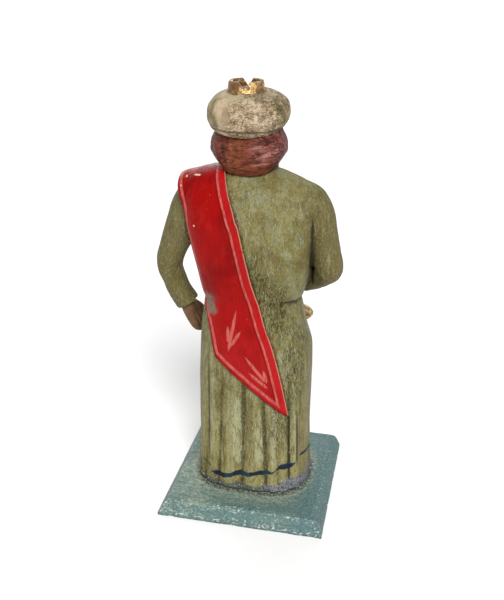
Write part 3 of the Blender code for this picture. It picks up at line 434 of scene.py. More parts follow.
# Paints. A value followed by two limits stands for its rise or fall between them, from 0 to 1.
# noises: size in millimetres, detail, stretch along x, y and z, distortion, roughness, shift.
# ground: what mixes two colours, and the colours. roughness: what it follows, and its range.
# heights: weight of each value in the relief. relief: its depth in millimetres.
# coats, in order: colour, strength, and the values whose product they follow.
PLAIN = (1, 1, 1)
CRACK_CORE = 0.2
STROKE_START = (-0.08, 0.3)
STROKE_END = (1.04, 0.86)
STROKE_TAPER = 0.1
PAINTS = {
    "painted_robe": {
        "noises": {
            "broad": (20, 3, (1, 1, 1.4), 0.8),
            "patch": (6, 4, (1, 1, 1.8), 0.8, 0.62, 11),
            "streak": (1.4, 3, (1, 1, 5.5), 0.6, 0.6, 5),
            "grain": (0.62, 2, (1, 1, 2.2), 0.6, 0.7, 23),
            "cloud": (11, 3, (1, 1, 1.3), 1.2, 0.6, 29),
            "dashes": (0.62, 3, (1, 1, 5), 1.2, 0.62, 43),
            "fleck": (1.3, 2, (1, 1, 2), 0.3, 0.5, 45),
            "speck": (0.9, 2, (1, 1, 1.4), 0, 0.5, 41),
            "wander": (3.2, 2, PLAIN, 0, 0.55, 47),
        },
        "ground": (("broad", 0.36, 0.62), (0.164, 0.138, 0.04), (0.206, 0.188, 0.074)),
        "roughness": (("patch", 0.3, 0.7), 0.5, 0.68),
        "gloss": 0.18,
        "heights": {"streak": 0.7, "grain": 0.55, "patch": 0.5, "scratch": -0.35},
        "relief": 0.75,
        "coats": [
            ((0.215, 0.226, 0.124), 0.75, ("patch", 0.5, 0.66)),
            ((0.135, 0.1, 0.028), 0.6, ("patch", 0.46, 0.32)),
            ((0.112, 0.084, 0.025), 0.66, ("cloud", 0.52, 0.64)),
            ((0.252, 0.25, 0.15), 0.58, ("cloud", 0.46, 0.34)),
            ((0.31, 0.268, 0.092), 0.66, "low"),
            # Painted shade: browner toward both sides of the robe and over the sleeves.
            ((0.114, 0.09, 0.028), 0.74, ("off_middle", 26, 34)),
            # Painted highlight: paler sage on the ridges between the skirt's folds.
            ((0.345, 0.33, 0.19), 0.35, ("valley", 0.3, 0.04), ("z", 100, 78),
             ("streak", 0.35, 0.62)),
            # Painted shade: olive-brown down the valleys of the skirt's folds.
            ((0.11, 0.084, 0.022), 0.42, ("valley", 0.35, 1.05), ("streak", 0.8, 0.3)),
            # Painted highlights along the fold ridges.
            ((0.35, 0.352, 0.215), 0.75, "light_lines", ("streak", 0.34, 0.56)),
            # Painted shade down the fold valleys and beside the right arm.
            ((0.09, 0.066, 0.018), 0.6, "brown_lines", ("streak", 0.66, 0.44)),
            ((0.085, 0.072, 0.024), 0.42, ("streak", 0.48, 0.34)),
            ((0.33, 0.32, 0.19), 0.42, ("streak", 0.56, 0.72)),
            ((0.06, 0.052, 0.018), 0.4, ("grain", 0.48, 0.36)),
            ((0.385, 0.375, 0.23), 0.34, ("grain", 0.54, 0.68)),
            ((0.034, 0.027, 0.01), 0.85, "scratch"),
            ((0.034, 0.028, 0.01), 0.92, ("hollow", 0.1, 0.75), "grimy"),
            # Painted shadow along the creases.
            ((0.016, 0.012, 0.005), 0.92, "dark_lines", ("grain", 0.26, 0.44)),
            ((0.13, 0.235, 0.09), 0.65, ("fleck", 0.56, 0.62), ("from_sash", 4.5, 1)),
            ((0.33, 0.12, 0.08), 0.6, ("fleck", 0.42, 0.36), ("from_sash", 4.5, 1)),
            ((0.52, 0.48, 0.3), 0.7, ("speck", 0.72, 0.76)),
            ("grey", 0.85, ("ragged_foot", 0.7, -0.5)),
            ((0.012, 0.016, 0.016), 0.9, ("z", 9.8, 8.5), ("dashes", 0.62, 0.46)),
            ((0.028, 0.018, 0.008), 0.9, "stain", ("patch", 0.3, 0.55), ("grain", 0.66, 0.4)),
            ((0.5, 0.52, 0.48), 0.8, ("speck", 0.62, 0.68), ("foot", 4, 0.5)),
            ("navy", 0.97, ("in_band", -0.3, 0.15), ("grain", 0.14, 0.3)),
        ],
    },
    "painted_sash": {
        "noises": {
            "broad": (15, 3, (1, 1, 1.6), 0.6, 0.5, 2),
            "patch": (3.2, 3, (1, 1, 2.4), 0.5, 0.6, 12),
            "brush": (0.9, 3, (1, 1, 5), 0.3, 0.6, 22),
            "nicks": (1.2, 2, PLAIN, 0, 0.55, 61),
        },
        "ground": (("broad", 0.36, 0.62), (0.2, 0.0018, 0.0016), (0.285, 0.003, 0.0024)),
        "roughness": (("patch", 0.3, 0.7), 0.24, 0.38),
        "gloss": 0.07,
        "heights": {"brush": 0.5, "patch": 0.8, "salmon": 0.25},
        "relief": 0.3,
        "coats": [
            ((0.335, 0.01, 0.012), 1, ("z", 122, 66), ("broad", 0.3, 0.7)),
            ((0.34, 0.01, 0.008), 0.5, ("patch", 0.52, 0.72)),
            ((0.13, 0.0015, 0.0015), 0.4, ("brush", 0.46, 0.3)),
            ((0.095, 0.002, 0.002), 0.55, "inner_dark", ("from_end", 1.8, 2.6)),
            ((0.4, 0.01, 0.012), 0.7, "inner_bright", ("from_end", 1.8, 2.6), "thin"),
            ((0.49, 0.115, 0.095), 0.85, "salmon"),
            ((0.15, 0.165, 0.12), 0.85, "rubbed", ("brush", 0.3, 0.56)),
            ((0.5, 0.3, 0.18), 0.75, ("sash_inner", *INNER_WORN), ("patch", 0.28, 0.46)),
            # Painted shade: dark red down the sash's outer side and over its ends.
            ((0.075, 0.002, 0.002), 0.75, "rim"),
            ((0.022, 0.006, 0.004), 0.8, ("hollow", 0.35, 1)),
            ((0.7, 0.46, 0.32), 1, "chips", ("brush", 0.3, 0.42)),
        ],
    },
    "painted_skin": {
        "noises": {"patch": (4, 4, PLAIN, 0, 0.55, 7), "fine": (0.9, 3, PLAIN, 0, 0.55, 17)},
        "ground": (("patch", 0.35, 0.65), (0.102, 0.054, 0.026), (0.162, 0.089, 0.045)),
        "roughness": ("patch", 0.38, 0.55),
        "gloss": 0.12,
        "heights": {"fine": 0.5, "patch": 0.5},
        "relief": 0.2,
        "coats": [
            ((0.07, 0.03, 0.015), 0.8, ("hollow", 0.15, 0.9), "grimy"),
            ((0.08, 0.038, 0.018), 0.35, ("fine", 0.42, 0.3)),
        ],
    },
    "painted_hair": {
        "noises": {
            "streak_across": (1.1, 4, (3.6, 3.6, 1), 1.4, 0.62, 31),
            "streak_down": (1, 4, (1, 1, 4), 1, 0.62, 37),
            "patch": (3.6, 3, (1.8, 1.8, 1), 0.9, 0.6, 33),
            "fine_across": (0.6, 2, (2.4, 2.4, 1), 0.8, 0.65, 35),
            "fine_down": (0.6, 2, (1, 1, 2.6), 0.8, 0.65, 39),
        },
        "ground": (("patch", 0.34, 0.62), (0.064, 0.011, 0.006), (0.185, 0.042, 0.019)),
        "roughness": (("patch", 0.3, 0.7), 0.3, 0.48),
        "gloss": 0.15,
        "heights": {"streak": 0.9, "patch": 0.8, "fine": 0.3, "dark": -0.8, "light": 0.5},
        "relief": 0.7,
        "coats": [
            ((0.27, 0.076, 0.036), 0.6, ("streak", 0.52, 0.7)),
            ((0.215, 0.066, 0.02), 0.55, ("x", 1, 5), ("x", 13, 10.5), ("patch", 0.3, 0.6)),
            # Painted highlight: pink-purple sheen on the upper part of the hair's right side.
            ((0.27, 0.105, 0.105), 0.6, ("x", 1, -5), ("z", 183, 188), ("patch", 0.36, 0.6),
             ("streak", 0.3, 0.6)),
            # Painted shade: dark purple toward both sides of the hair.
            ((0.07, 0.018, 0.02), 0.75, ("off_middle", 10.5, 14.5), ("streak", 0.62, 0.4)),
            # Painted highlights on the locks behind.
            ((0.4, 0.17, 0.14), 0.8, "light", "behind", ("streak", 0.3, 0.6)),
            ((0.028, 0.008, 0.007), 0.6, ("streak", 0.46, 0.32)),
            ((0.022, 0.007, 0.006), 0.4, ("fine", 0.46, 0.34)),
            ((0.33, 0.15, 0.11), 0.4, ("fine", 0.58, 0.7)),
            # Painted shadows between the locks behind.
            ((0.022, 0.006, 0.005), 0.85, "dark", "behind", ("streak", 0.62, 0.36)),
            ((0.016, 0.006, 0.005), 0.88, ("hollow", 0.08, 0.7)),
        ],
    },
    "painted_turban": {
        "noises": {
            "broad": (10, 3, (1.4, 1.4, 1), 0.7, 0.55, 52),
            "patch": (3, 4, (1.6, 1.6, 1), 0.9, 0.62, 53),
            "fine": (0.62, 3, (1.3, 1.3, 1), 0.5, 0.68, 55),
            "marks": (0.9, 3, (2.2, 2.2, 1), 1.6, 0.62, 57),
        },
        "ground": (("broad", 0.38, 0.6), (0.35, 0.255, 0.15), (0.52, 0.395, 0.26)),
        "roughness": ("patch", 0.52, 0.68),
        "gloss": 0.18,
        "heights": {"fine": 0.45, "patch": 1.1, "net": -0.4, "worn": -0.4},
        "relief": 0.7,
        "coats": [
            ((0.56, 0.44, 0.29), 0.6, ("patch", 0.5, 0.7)),
            ((0.23, 0.16, 0.085), 0.5, ("patch", 0.46, 0.34)),
            # Olive tone, with painted shade, toward both sides of the turban.
            ((0.19, 0.155, 0.062), 0.85, ("off_middle", 9, 17), "greener", ("patch", 0.66, 0.4)),
            # Painted shade along the side folds.
            ((0.11, 0.105, 0.03), 0.7, "folds", ("fine", 0.3, 0.5)),
            ((0.26, 0.235, 0.13), 0.45, ("z", 210, 214), ("patch", 0.34, 0.56)),
            ((0.06, 0.04, 0.018), 0.6, "net"),
            ((0.06, 0.038, 0.016), 0.75, "worn"),
            ((0.13, 0.088, 0.042), 0.45, ("fine", 0.46, 0.34)),
            ((0.64, 0.54, 0.39), 0.45, ("fine", 0.58, 0.7)),
            ((0.06, 0.04, 0.018), 0.75, ("from_rim", 0.75, 0.25)),
            ((0.075, 0.052, 0.024), 0.8, ("hollow", 0.08, 0.7)),
        ],
    },
    "gold_leaf": {
        "noises": {
            "patch": (1.8, 4, PLAIN, 0, 0.55, 71),
            "fine": (0.6, 3, PLAIN, 0, 0.55, 73),
            "wear": (2.4, 4, PLAIN, 0, 0.55, 77),
        },
        "ground": (("patch", 0.4, 0.62), (0.38, 0.22, 0.07), (0.74, 0.53, 0.24)),
        "roughness": ("fine", 0.34, 0.58),
        "gloss": 0.5,
        "heights": {"fine": 0.6, "patch": 1.2, "ridge": 0.1},
        "relief": 0.5,
        "coats": [
            # Red-brown ground where the leaf is rubbed through, and painted shade on one merlon's
            # outer face.
            ((0.12, 0.046, 0.014), 1, "bare"),
            ((0.2, 0.16, 0.11), 0.8, "top"),
        ],
    },
    "painted_board": {
        "noises": {
            "broad": (22, 3, (1.6, 1, 1), 0.8, 0.55, 81),
            "streak": (2.4, 4, (3.2, 1, 1), 0.9, 0.62, 83),
            "fine": (0.75, 3, (1.4, 1, 1), 0.3, 0.68, 85),
            "glue": (2.2, 3, PLAIN, 0, 0.55, 87),
            "speck": (0.9, 2, (1.5, 1, 1), 0, 0.55, 89),
            "flake": (1, 3, (1.6, 1, 1), 0.6, 0.6, 91),
        },
        "ground": (("broad", 0.35, 0.65), (0.073, 0.139, 0.137), (0.098, 0.17, 0.153)),
        "roughness": (("streak", 0.3, 0.7), 0.42, 0.62),
        "gloss": 0.2,
        "heights": {"streak": 0.8, "fine": 0.4, "broad": 0.8},
        "relief": 0.5,
        "coats": [
            ((0.19, 0.262, 0.228), 0.45, ("streak", 0.54, 0.68)),
            ((0.07, 0.122, 0.128), 0.4, ("streak", 0.46, 0.34)),
            ((0.066, 0.137, 0.146), 0.7, ("x", -22, -34)),
            ((0.262, 0.3, 0.215), 0.6, "rubbed", ("z", 6.4, 7.2)),
            ((0.42, 0.45, 0.35), 0.6, ("fine", 0.5, 0.62), "mottled"),
            ((0.032, 0.054, 0.05), 0.65, ("fine", 0.48, 0.36), "pitted"),
            ((0.33, 0.35, 0.245), 0.65, ("from_figure", 5, 0.6), ("glue", 0.4, 0.56)),
            # Painted shade: a dark ring on the board right round the robe's foot.
            ((0.02, 0.026, 0.022), 0.85, ("from_figure", 3, 0.2), ("fine", 0.64, 0.42)),
            ((0.56, 0.6, 0.56), 0.8, ("speck", 0.7, 0.73)),
            ((0.54, 0.58, 0.54), 0.85, ("ridge", 0.2, 0.7), ("bare", 0, 0.045),
             ("broad", 0.38, 0.5)),
            ((0.05, 0.06, 0.06), 0.6, ("z", 1.3, 0.4), ("streak", 0.35, 0.55)),
        ],
    },
    "pale_floor": {
        "noises": {"spread": (60, 2)},
        "ground": ("spread", (0.86, 0.86, 0.86), (0.88, 0.88, 0.88)),
        "roughness": 0.9,
        "gloss": 0.1,
        "heights": {"spread": 1},
        "relief": 0.01,
        "coats": [],
    },
}


def curve_through(position, knots):
    """Values of a smooth curve that passes through each knot and never overshoots."""
    places, values = np.array(knots, dtype=float).T
    steps = np.diff(places)
    rises = np.diff(values) / steps
    slopes = np.zeros(len(values))
    slopes[0] = rises[0]
    slopes[-1] = rises[-1]
    for k in range(1, len(values) - 1):
        if rises[k - 1] * rises[k] > 0:
            slopes[k] = 2 * rises[k - 1] * rises[k] / (rises[k - 1] + rises[k])
    position = np.clip(np.asarray(position, dtype=float), places[0], places[-1])
    k = np.clip(np.searchsorted(places, position) - 1, 0, len(steps) - 1)
    t = (position - places[k]) / steps[k]
    return (
        values[k] * (1 + 2 * t) * (1 - t) ** 2
        + values[k + 1] * t * t * (3 - 2 * t)
        + slopes[k] * steps[k] * t * (1 - t) ** 2
        - slopes[k + 1] * steps[k] * t * t * (1 - t)
    )


def columns_over(table, position):
    """Every column of a table, smoothed over its first one."""
    return [
        curve_through(position, [(row[0], row[k]) for row in table])
        for k in range(1, len(table[0]))
    ]


def smooth_step(low, high, value):
    """0 below low, 1 above high, and an S curve between."""
    t = np.clip((value - low) / (high - low), 0.0, 1.0)
    return t * t * (3 - 2 * t)


def bump_at(offset, width):
    """1 at the middle of a bump and 0 well away from it."""
    return np.exp(-((offset / width) ** 2))


def oval_radius(angle, half_width, behind, front, squareness):
    """Distance from the centre to a squared oval, at an angle from straight behind."""
    across = np.abs(np.sin(angle)) / half_width
    along = np.abs(np.cos(angle)) / np.where(np.cos(angle) > 0, behind, front)
    return (across ** squareness + along ** squareness) ** (-1 / squareness)


def turn_from(turn, place):
    """Angle from a place, between minus and plus half a turn."""
    return (turn - place + math.pi) % math.tau - math.pi


def to_world(points):
    """Carver's units to metres, above the board."""
    return np.asarray(points, dtype=float) * UNIT + np.array([0.0, 0.0, FOOT])


def noise_over(points, size, seed, octaves=3):
    """Noise at each point, about -1 to 1. The points and the size are in the same unit."""
    shift = Vector((seed * 7.31, seed * 3.17, seed * 5.77))
    return np.array([
        noise.fractal(Vector(point) / size + shift, 1.0, 2.0, octaves, noise_basis="PERLIN_NEW")
        for point in points
    ])


def closed_shell(rings):
    """Vertices and faces of a closed form through rings (rows, columns, xyz)."""
    rows, columns = rings.shape[:2]
    index = np.arange(rows * columns).reshape(rows, columns)
    after = np.roll(index, -1, axis=1)
    quads = np.stack([index[:-1], after[:-1], after[1:], index[1:]], axis=-1).reshape(-1, 4)
    first = rows * columns
    faces = quads.tolist()
    faces += [(int(b), int(a), first) for a, b in zip(index[0], after[0])]
    faces += [(int(a), int(b), first + 1) for a, b in zip(index[-1], after[-1])]
    points = np.concatenate([rings.reshape(-1, 3), [rings[0].mean(0)], [rings[-1].mean(0)]])
    return points, faces


def add_mesh(name, points, faces, material):
    """Object from points in metres, faces outward."""
    mesh = bpy.data.meshes.new(name)
    mesh.from_pydata(points.tolist(), [], faces)
    builder = bmesh.new()
    builder.from_mesh(mesh)
    bmesh.ops.recalc_face_normals(builder, faces=builder.faces)
    builder.to_mesh(mesh)
    builder.free()
    mesh.materials.append(material)
    made = bpy.data.objects.new(name, mesh)
    bpy.context.scene.collection.objects.link(made)
    return made


def carved(name, rings, material):
    """Form through rings given in carver's units."""
    points, faces = closed_shell(np.asarray(rings, dtype=float))
    return add_mesh(name, to_world(points), faces, material)


def bake_modifiers(shown):
    """The object's mesh as its modifiers leave it."""
    depsgraph = bpy.context.evaluated_depsgraph_get()
    mesh = bpy.data.meshes.new_from_object(shown.evaluated_get(depsgraph))
    shown.modifiers.clear()
    shown.data = mesh


def combine(base, tool, operation="UNION", solver="MANIFOLD"):
    """Boolean of a form into another, after which the form is gone."""
    modifier = base.modifiers.new(tool.name, "BOOLEAN")
    modifier.operation = operation
    modifier.solver = solver
    modifier.material_mode = "TRANSFER"
    modifier.object = tool
    bake_modifiers(base)
    bpy.data.objects.remove(tool, do_unlink=True)


def remesh(shown, size):
    """The form in even small quads, size in carver's units."""
    modifier = shown.modifiers.new("remesh", "REMESH")
    modifier.mode = "VOXEL"
    modifier.voxel_size = size * UNIT
    bake_modifiers(shown)


def points_of(mesh):
    """Vertices of a mesh as an array."""
    points = np.zeros(len(mesh.vertices) * 3)
    mesh.vertices.foreach_get("co", points)
    return points.reshape(-1, 3)


def normals_of(mesh):
    """Vertex normals of a mesh as an array."""
    normals = np.zeros(len(mesh.vertices) * 3, np.float32)
    mesh.vertex_normals.foreach_get("vector", normals)
    return normals.reshape(-1, 3).astype(float)


def put_points(mesh, points):
    """Moves a mesh's vertices."""
    mesh.vertices.foreach_set("co", points.astype(np.float32).ravel())
    mesh.update()


def edges_of(mesh):
    """Edges of a mesh as pairs of vertex numbers."""
    pairs = np.zeros(len(mesh.edges) * 2, np.int32)
    mesh.edges.foreach_get("vertices", pairs)
    return pairs.reshape(-1, 2)


def smoothed(values, pairs, rounds, share=0.6):
    """Values at the vertices, evened out with their neighbours."""
    count = len(values)
    degree = np.bincount(pairs.ravel(), minlength=count).astype(float)
    flat = values.reshape(count, -1).copy()
    for _ in range(rounds):
        for k in range(flat.shape[1]):
            total = np.bincount(pairs[:, 0], flat[pairs[:, 1], k], count)
            total += np.bincount(pairs[:, 1], flat[pairs[:, 0], k], count)
            flat[:, k] += share * (total / np.maximum(degree, 1) - flat[:, k])
    return flat.reshape(values.shape)


def smoothed_where(mesh, weight, rounds):
    """Evens out a mesh's surface by a weight at each vertex."""
    points = points_of(mesh)
    even = smoothed(points, edges_of(mesh), rounds)
    put_points(mesh, points + (even - points) * weight[:, None])


def in_units(points):
    """Metres to carver's units."""
    return (points - np.array([0.0, 0.0, FOOT])) / UNIT


def creases_at(angle, height):
    """Depth of the creases next to each place, and the share of the way between them."""
    hem, waist, depth, end = np.array(CREASES).T
    rise = np.minimum(height / BELT_HEIGHT, 1.0)[..., None]
    places = hem + (waist - hem) * rise
    past = (np.degrees(angle)[..., None] - places) % 360
    before = past.argmin(-1)
    after = (before + 1) % len(CREASES)
    start = np.take_along_axis(places, before[..., None], -1)[..., 0]
    stop = np.take_along_axis(places, after[..., None], -1)[..., 0]
    share = past.min(-1) / ((stop - start) % 360)
    run_out = smooth_step(end, end - CREASE_RUN_OUT, height[..., None])
    gathered = GATHER_DEPTH * bump_at(height - BELT_HEIGHT, GATHER_REACH)
    depths = depth * run_out + gathered[..., None]
    deep = np.take_along_axis(depths, before[..., None], -1)[..., 0] * (1 - share)
    deep += np.take_along_axis(depths, after[..., None], -1)[..., 0] * share
    return deep, share


def robe_rings():
    """Rings of the robe, with its creases, gathers and belt."""
    rows = np.concatenate([np.linspace(0, ROBE_EVEN_TO, ROBE_ROWS), ROBE_NECK_ROWS])
    angles = np.radians(np.linspace(-180, 180, ROBE_COLUMNS, endpoint=False))
    row, angle = np.meshgrid(rows, angles, indexing="ij")
    half_width, behind, front, squareness, shift = columns_over(ROBE, row)
    radius = oval_radius(angle, half_width, behind, front, squareness)
    deep, share = creases_at(angle, row)
    radius -= deep * (1 - np.sin(np.pi * share)) ** CREASE_NARROWNESS
    belt = BELT_DEPTH * (1 - BELT_FADE_BEHIND * np.maximum(0.0, np.cos(angle)) ** 2)
    radius -= belt * bump_at(row - BELT_HEIGHT, BELT_WIDTH)
    rise = BELT_RISE_BEHIND * np.maximum(0.0, np.cos(angle))
    height = row + rise * bump_at(row - BELT_HEIGHT, BELT_RISE_REACH)
    return np.stack([shift + radius * np.sin(angle), radius * np.cos(angle), height], axis=-1)


def tube_rings(path, sides):
    """Rings of a tube along a path of (x, y, height, radius)."""
    places = np.arange(len(path), dtype=float)
    samples = np.linspace(0, len(path) - 1, (len(path) - 1) * TUBE_STEPS + 1)
    line = np.stack(
        [curve_through(samples, list(zip(places, [point[k] for point in path])))
         for k in range(4)], axis=-1)
    rings = []
    for k, sample in enumerate(line):
        ahead = Vector(line[min(k + 1, len(line) - 1)][:3]) - Vector(line[max(k - 1, 0)][:3])
        side = ahead.cross(Vector(TUBE_SIDE_REFERENCE)).normalized()
        top = side.cross(ahead).normalized()
        angles = np.arange(sides) * math.tau / sides
        ring = sample[:3] + sample[3] * (
            np.cos(angles)[:, None] * np.array(side) + np.sin(angles)[:, None] * np.array(top))
        rings.append(ring)
    return np.array(rings)


def sleeve_form(name, path, material):
    """Sleeve with an open cuff, its floor sunk in behind the rim."""
    rings = tube_rings(path, SLEEVE_SIDES)
    rim = rings[-1]
    middle = rim.mean(0)
    inward = np.array((Vector(path[-2][:3]) - Vector(path[-1][:3])).normalized())
    inner = middle + (rim - middle) * (1 - CUFF_WALL / path[-1][3])
    floor = inner + inward * CUFF_DEPTH
    return carved(name, np.concatenate([rings, [inner], [floor]]), material)


def robe_relief(mesh):
    """Knife marks, fine gathers at the waist and grain on the robe."""
    points = points_of(mesh)
    units = in_units(points)
    turn = np.degrees(np.arctan2(units[:, 0] - GATHER_AXIS, units[:, 1]))
    around = np.stack([turn, turn * 0, units[:, 2]], axis=-1)
    around *= np.array([GATHER_SPREAD[0], 0, GATHER_SPREAD[1]])
    waist = sum(bump_at(units[:, 2] - height, reach) * deep for height, reach, deep in GATHERS)
    depth = noise_over(around, GATHER_SIZE, 3, 2) * waist - RELIEF_SINK
    for seed, octaves, (squeeze, size, deep) in ((1, 3, CUTS), (2, 2, GRAIN)):
        depth += noise_over(units * np.array([1, 1, squeeze]), size, seed, octaves) * deep
    depth *= UNIT * smooth_step(0.0, RELIEF_CLEAR, units[:, 2])
    put_points(mesh, points + normals_of(mesh) * depth[:, None])


def robe_form(material):
    """Robe and sleeves, run into each other as one carved surface."""
    robe = carved("figure_carved", robe_rings(), material)
    for name, path in (("right_sleeve", RIGHT_SLEEVE), ("left_sleeve", LEFT_SLEEVE)):
        combine(robe, sleeve_form(name, path, material))
    remesh(robe, ROBE_VOXEL)
    units = in_units(points_of(robe.data))
    side = np.abs(units[:, 0] - SHOULDER_MIDDLE)
    shoulder = smooth_step(*SHOULDER_SIDE, side) * smooth_step(*SHOULDER_RISE, units[:, 2])
    smoothed_where(robe.data, shoulder, BLEND_ROUNDS)
    smoothed_where(robe.data, np.ones(len(units)), 1)
    robe_relief(robe.data)
    robe.data.materials.clear()
    robe.data.materials.append(material)
    return robe


def sash_form(body, material):
    """Sash laid on the body, and the four edges of its upper face."""
    tree = BVHTree.FromObject(body, bpy.context.evaluated_depsgraph_get())
    samples = np.linspace(0, len(SASH) - 1, SASH_ROWS)
    places = range(len(SASH))
    turn, inner_x, inner_z, outer_x, outer_z, lift = [
        curve_through(samples, [(k, SASH[k][column]) for k in places]) for column in range(6)]
    edge = SASH_ROUNDING / SASH_MEAN_WIDTH
    first, next_step = edge * SASH_EDGE_STEPS[0], edge * SASH_EDGE_STEPS[1]
    share = np.concatenate([[0, first, edge], np.linspace(next_step, 1 - next_step, SASH_COLUMNS),
                            [1 - edge, 1 - first, 1]])
    rounding = SASH_ROUNDING * np.clip(1 - np.minimum(share, 1 - share) / edge, 0, 1) ** 2
    across = inner_x[:, None] + (outer_x - inner_x)[:, None] * share
    up = inner_z[:, None] + (outer_z - inner_z)[:, None] * share
    aims = to_world(np.stack([across, across * 0, up], axis=-1))
    outs = np.stack([np.zeros(SASH_ROWS), np.cos(np.radians(turn)), np.sin(np.radians(turn))], -1)
    reach = np.zeros(aims.shape[:2])
    for j in range(SASH_ROWS):
        out = Vector(outs[j])
        for k in range(len(share)):
            aim = Vector(aims[j, k])
            found = tree.ray_cast(aim + out * SASH_RAY * UNIT, -out)[0]
            reach[j, k] = (found - aim).dot(out)
    for _ in range(SASH_SMOOTHINGS):
        padded = np.pad(reach, 1, mode="edge")
        beside = padded[1:-1, :-2] + padded[1:-1, 2:] + padded[:-2, 1:-1] + padded[2:, 1:-1]
        reach = np.maximum(reach, 0.5 * reach + beside / 8)
    stiff = lift[:, None] * share ** 2 * UNIT
    top = reach + stiff + (SASH_THICKNESS - rounding) * UNIT
    bottom = reach - SASH_BED * UNIT
    ends = np.minimum(np.arange(SASH_ROWS), np.arange(SASH_ROWS)[::-1])
    top -= (SASH_ROUNDING * np.clip(1 - ends / 2, 0, 1) ** 2)[:, None] * UNIT
    sheet = aims + outs[:, None, :] * top[..., None]
    back = aims + outs[:, None, :] * bottom[..., None]
    rings = np.concatenate([sheet, back[:, ::-1]], axis=1)
    points, faces = closed_shell(rings)
    edges = [sheet[:, 0], sheet[:, -1], sheet[0], sheet[-1]]
    return add_mesh("sash", points, faces, material), edges


def face_relief(across, height):
    """How far the face stands forward: across from its middle, height from the eyes."""
    side = np.abs(across)
    nose_width = NOSE_WIDTH - NOSE_FLARE * np.minimum(height, 0.0)
    nose = smooth_step(NOSE_TOP, NOSE_TIP, height) * smooth_step(*NOSE_UNDERSIDE, height)
    relief = NOSE_REACH * nose * bump_at(across, nose_width)
    for reach, place, width, rise, rise_width in FACE_FORMS:
        relief += reach * bump_at(side - place, width) * bump_at(height - rise, rise_width)
    return relief


def head_form(material):
    """Head, with finer columns over the face."""
    steps = np.arange(HEAD_COLUMNS) * math.tau / HEAD_COLUMNS
    turns = steps - HEAD_FACE_DETAIL * np.sin(steps)
    rises = np.arcsin(np.linspace(HEAD_BOTTOM, HEAD_TOP, HEAD_ROWS))
    rise, turn = np.meshgrid(rises, turns, indexing="ij")
    up = np.sin(rise)
    round_share = (1 - np.abs(up) ** HEAD_SQUARENESS) ** (1 / HEAD_SQUARENESS)
    narrowing = 1 - JAW_TAPER * np.maximum(0.0, -up) ** JAW_CURVE
    across = HEAD_HALF_WIDTH * round_share * np.sin(turn) * narrowing
    along = -HEAD_HALF_DEPTH * round_share * np.cos(turn)
    height = HEAD_HALF_HEIGHT * up
    along -= face_relief(across, height) * smooth_step(*FACE_EDGE, np.cos(turn))
    return carved("head", np.stack([across, along, height], -1) + np.array(HEAD_CENTRE), material)


def strands_over(around, up, seed):
    """Noise of fine strands on a grid of places."""
    places = np.stack([around, up, around * 0], -1).reshape(-1, 3)
    return noise_over(places, 1.0, seed).reshape(around.shape) - STRAND_SINK


def hair_form(material):
    """Hair cut level at the neck, parted by upright creases, with fine strands."""
    heights = np.linspace(HAIR[0][0], HAIR[-1][0], HAIR_ROWS)
    angles = np.radians(np.linspace(-180, 180, HAIR_COLUMNS, endpoint=False))
    height, angle = np.meshgrid(heights, angles, indexing="ij")
    half_width, behind, front = columns_over(HAIR, height)
    radius = oval_radius(angle, half_width, behind, front, HAIR_SQUARENESS)
    places = np.radians(np.array(HAIR_CREASES))
    before = (np.searchsorted(places, angles, side="right") - 1) % len(places)
    gap = (places[(before + 1) % len(places)] - places[before]) % math.tau
    share = ((angles - places[before]) % math.tau) / gap
    crease = smooth_step(*HAIR_CREASE_FOOT, height) * smooth_step(*HAIR_CREASE_HEAD, height)
    radius -= HAIR_CREASE_DEPTH * (1 - np.sin(np.pi * share)) ** LOCK_SHARPNESS * crease
    radius += HAIR_STRAND * strands_over(angle * HAIR_STRANDS[0], height * HAIR_STRANDS[1], 11)
    x = HAIR_SHIFT + radius * np.sin(angle)
    return carved("hair", np.stack([x, radius * np.cos(angle), height], -1), material)


def beard_form(material):
    """Full beard, its locks divided by grooves that run down to its point."""
    heights = np.linspace(BEARD[0][0], BEARD[-1][0], BEARD_ROWS)
    angles = np.arange(BEARD_COLUMNS) * math.tau / BEARD_COLUMNS
    height, angle = np.meshgrid(heights, angles, indexing="ij")
    half_width, front, back = columns_over(BEARD, height)
    half_depth = (back - front) / 2
    sway = BEARD_SWAY[0] * np.sin(height * BEARD_SWAY[1])
    wave = np.abs(np.sin((angle + sway) * BEARD_LOCKS / 2 + BEARD_LOCK_PHASE))
    full = np.minimum(1.0, half_width / BEARD_FULL_WIDTH)
    radius = oval_radius(angle, half_width, half_depth, half_depth, BEARD_SQUARENESS)
    radius -= BEARD_LOCK_DEPTH * (1 - wave) ** LOCK_SHARPNESS * full
    strands = strands_over((angle + sway) * BEARD_STRANDS[0], height * BEARD_STRANDS[1], 12)
    radius += BEARD_STRAND * full * strands
    x = HEAD_CENTRE[0] + radius * np.sin(angle)
    y = (front + back) / 2 + radius * np.cos(angle)
    return carved("beard", np.stack([x, y, height], -1), material)


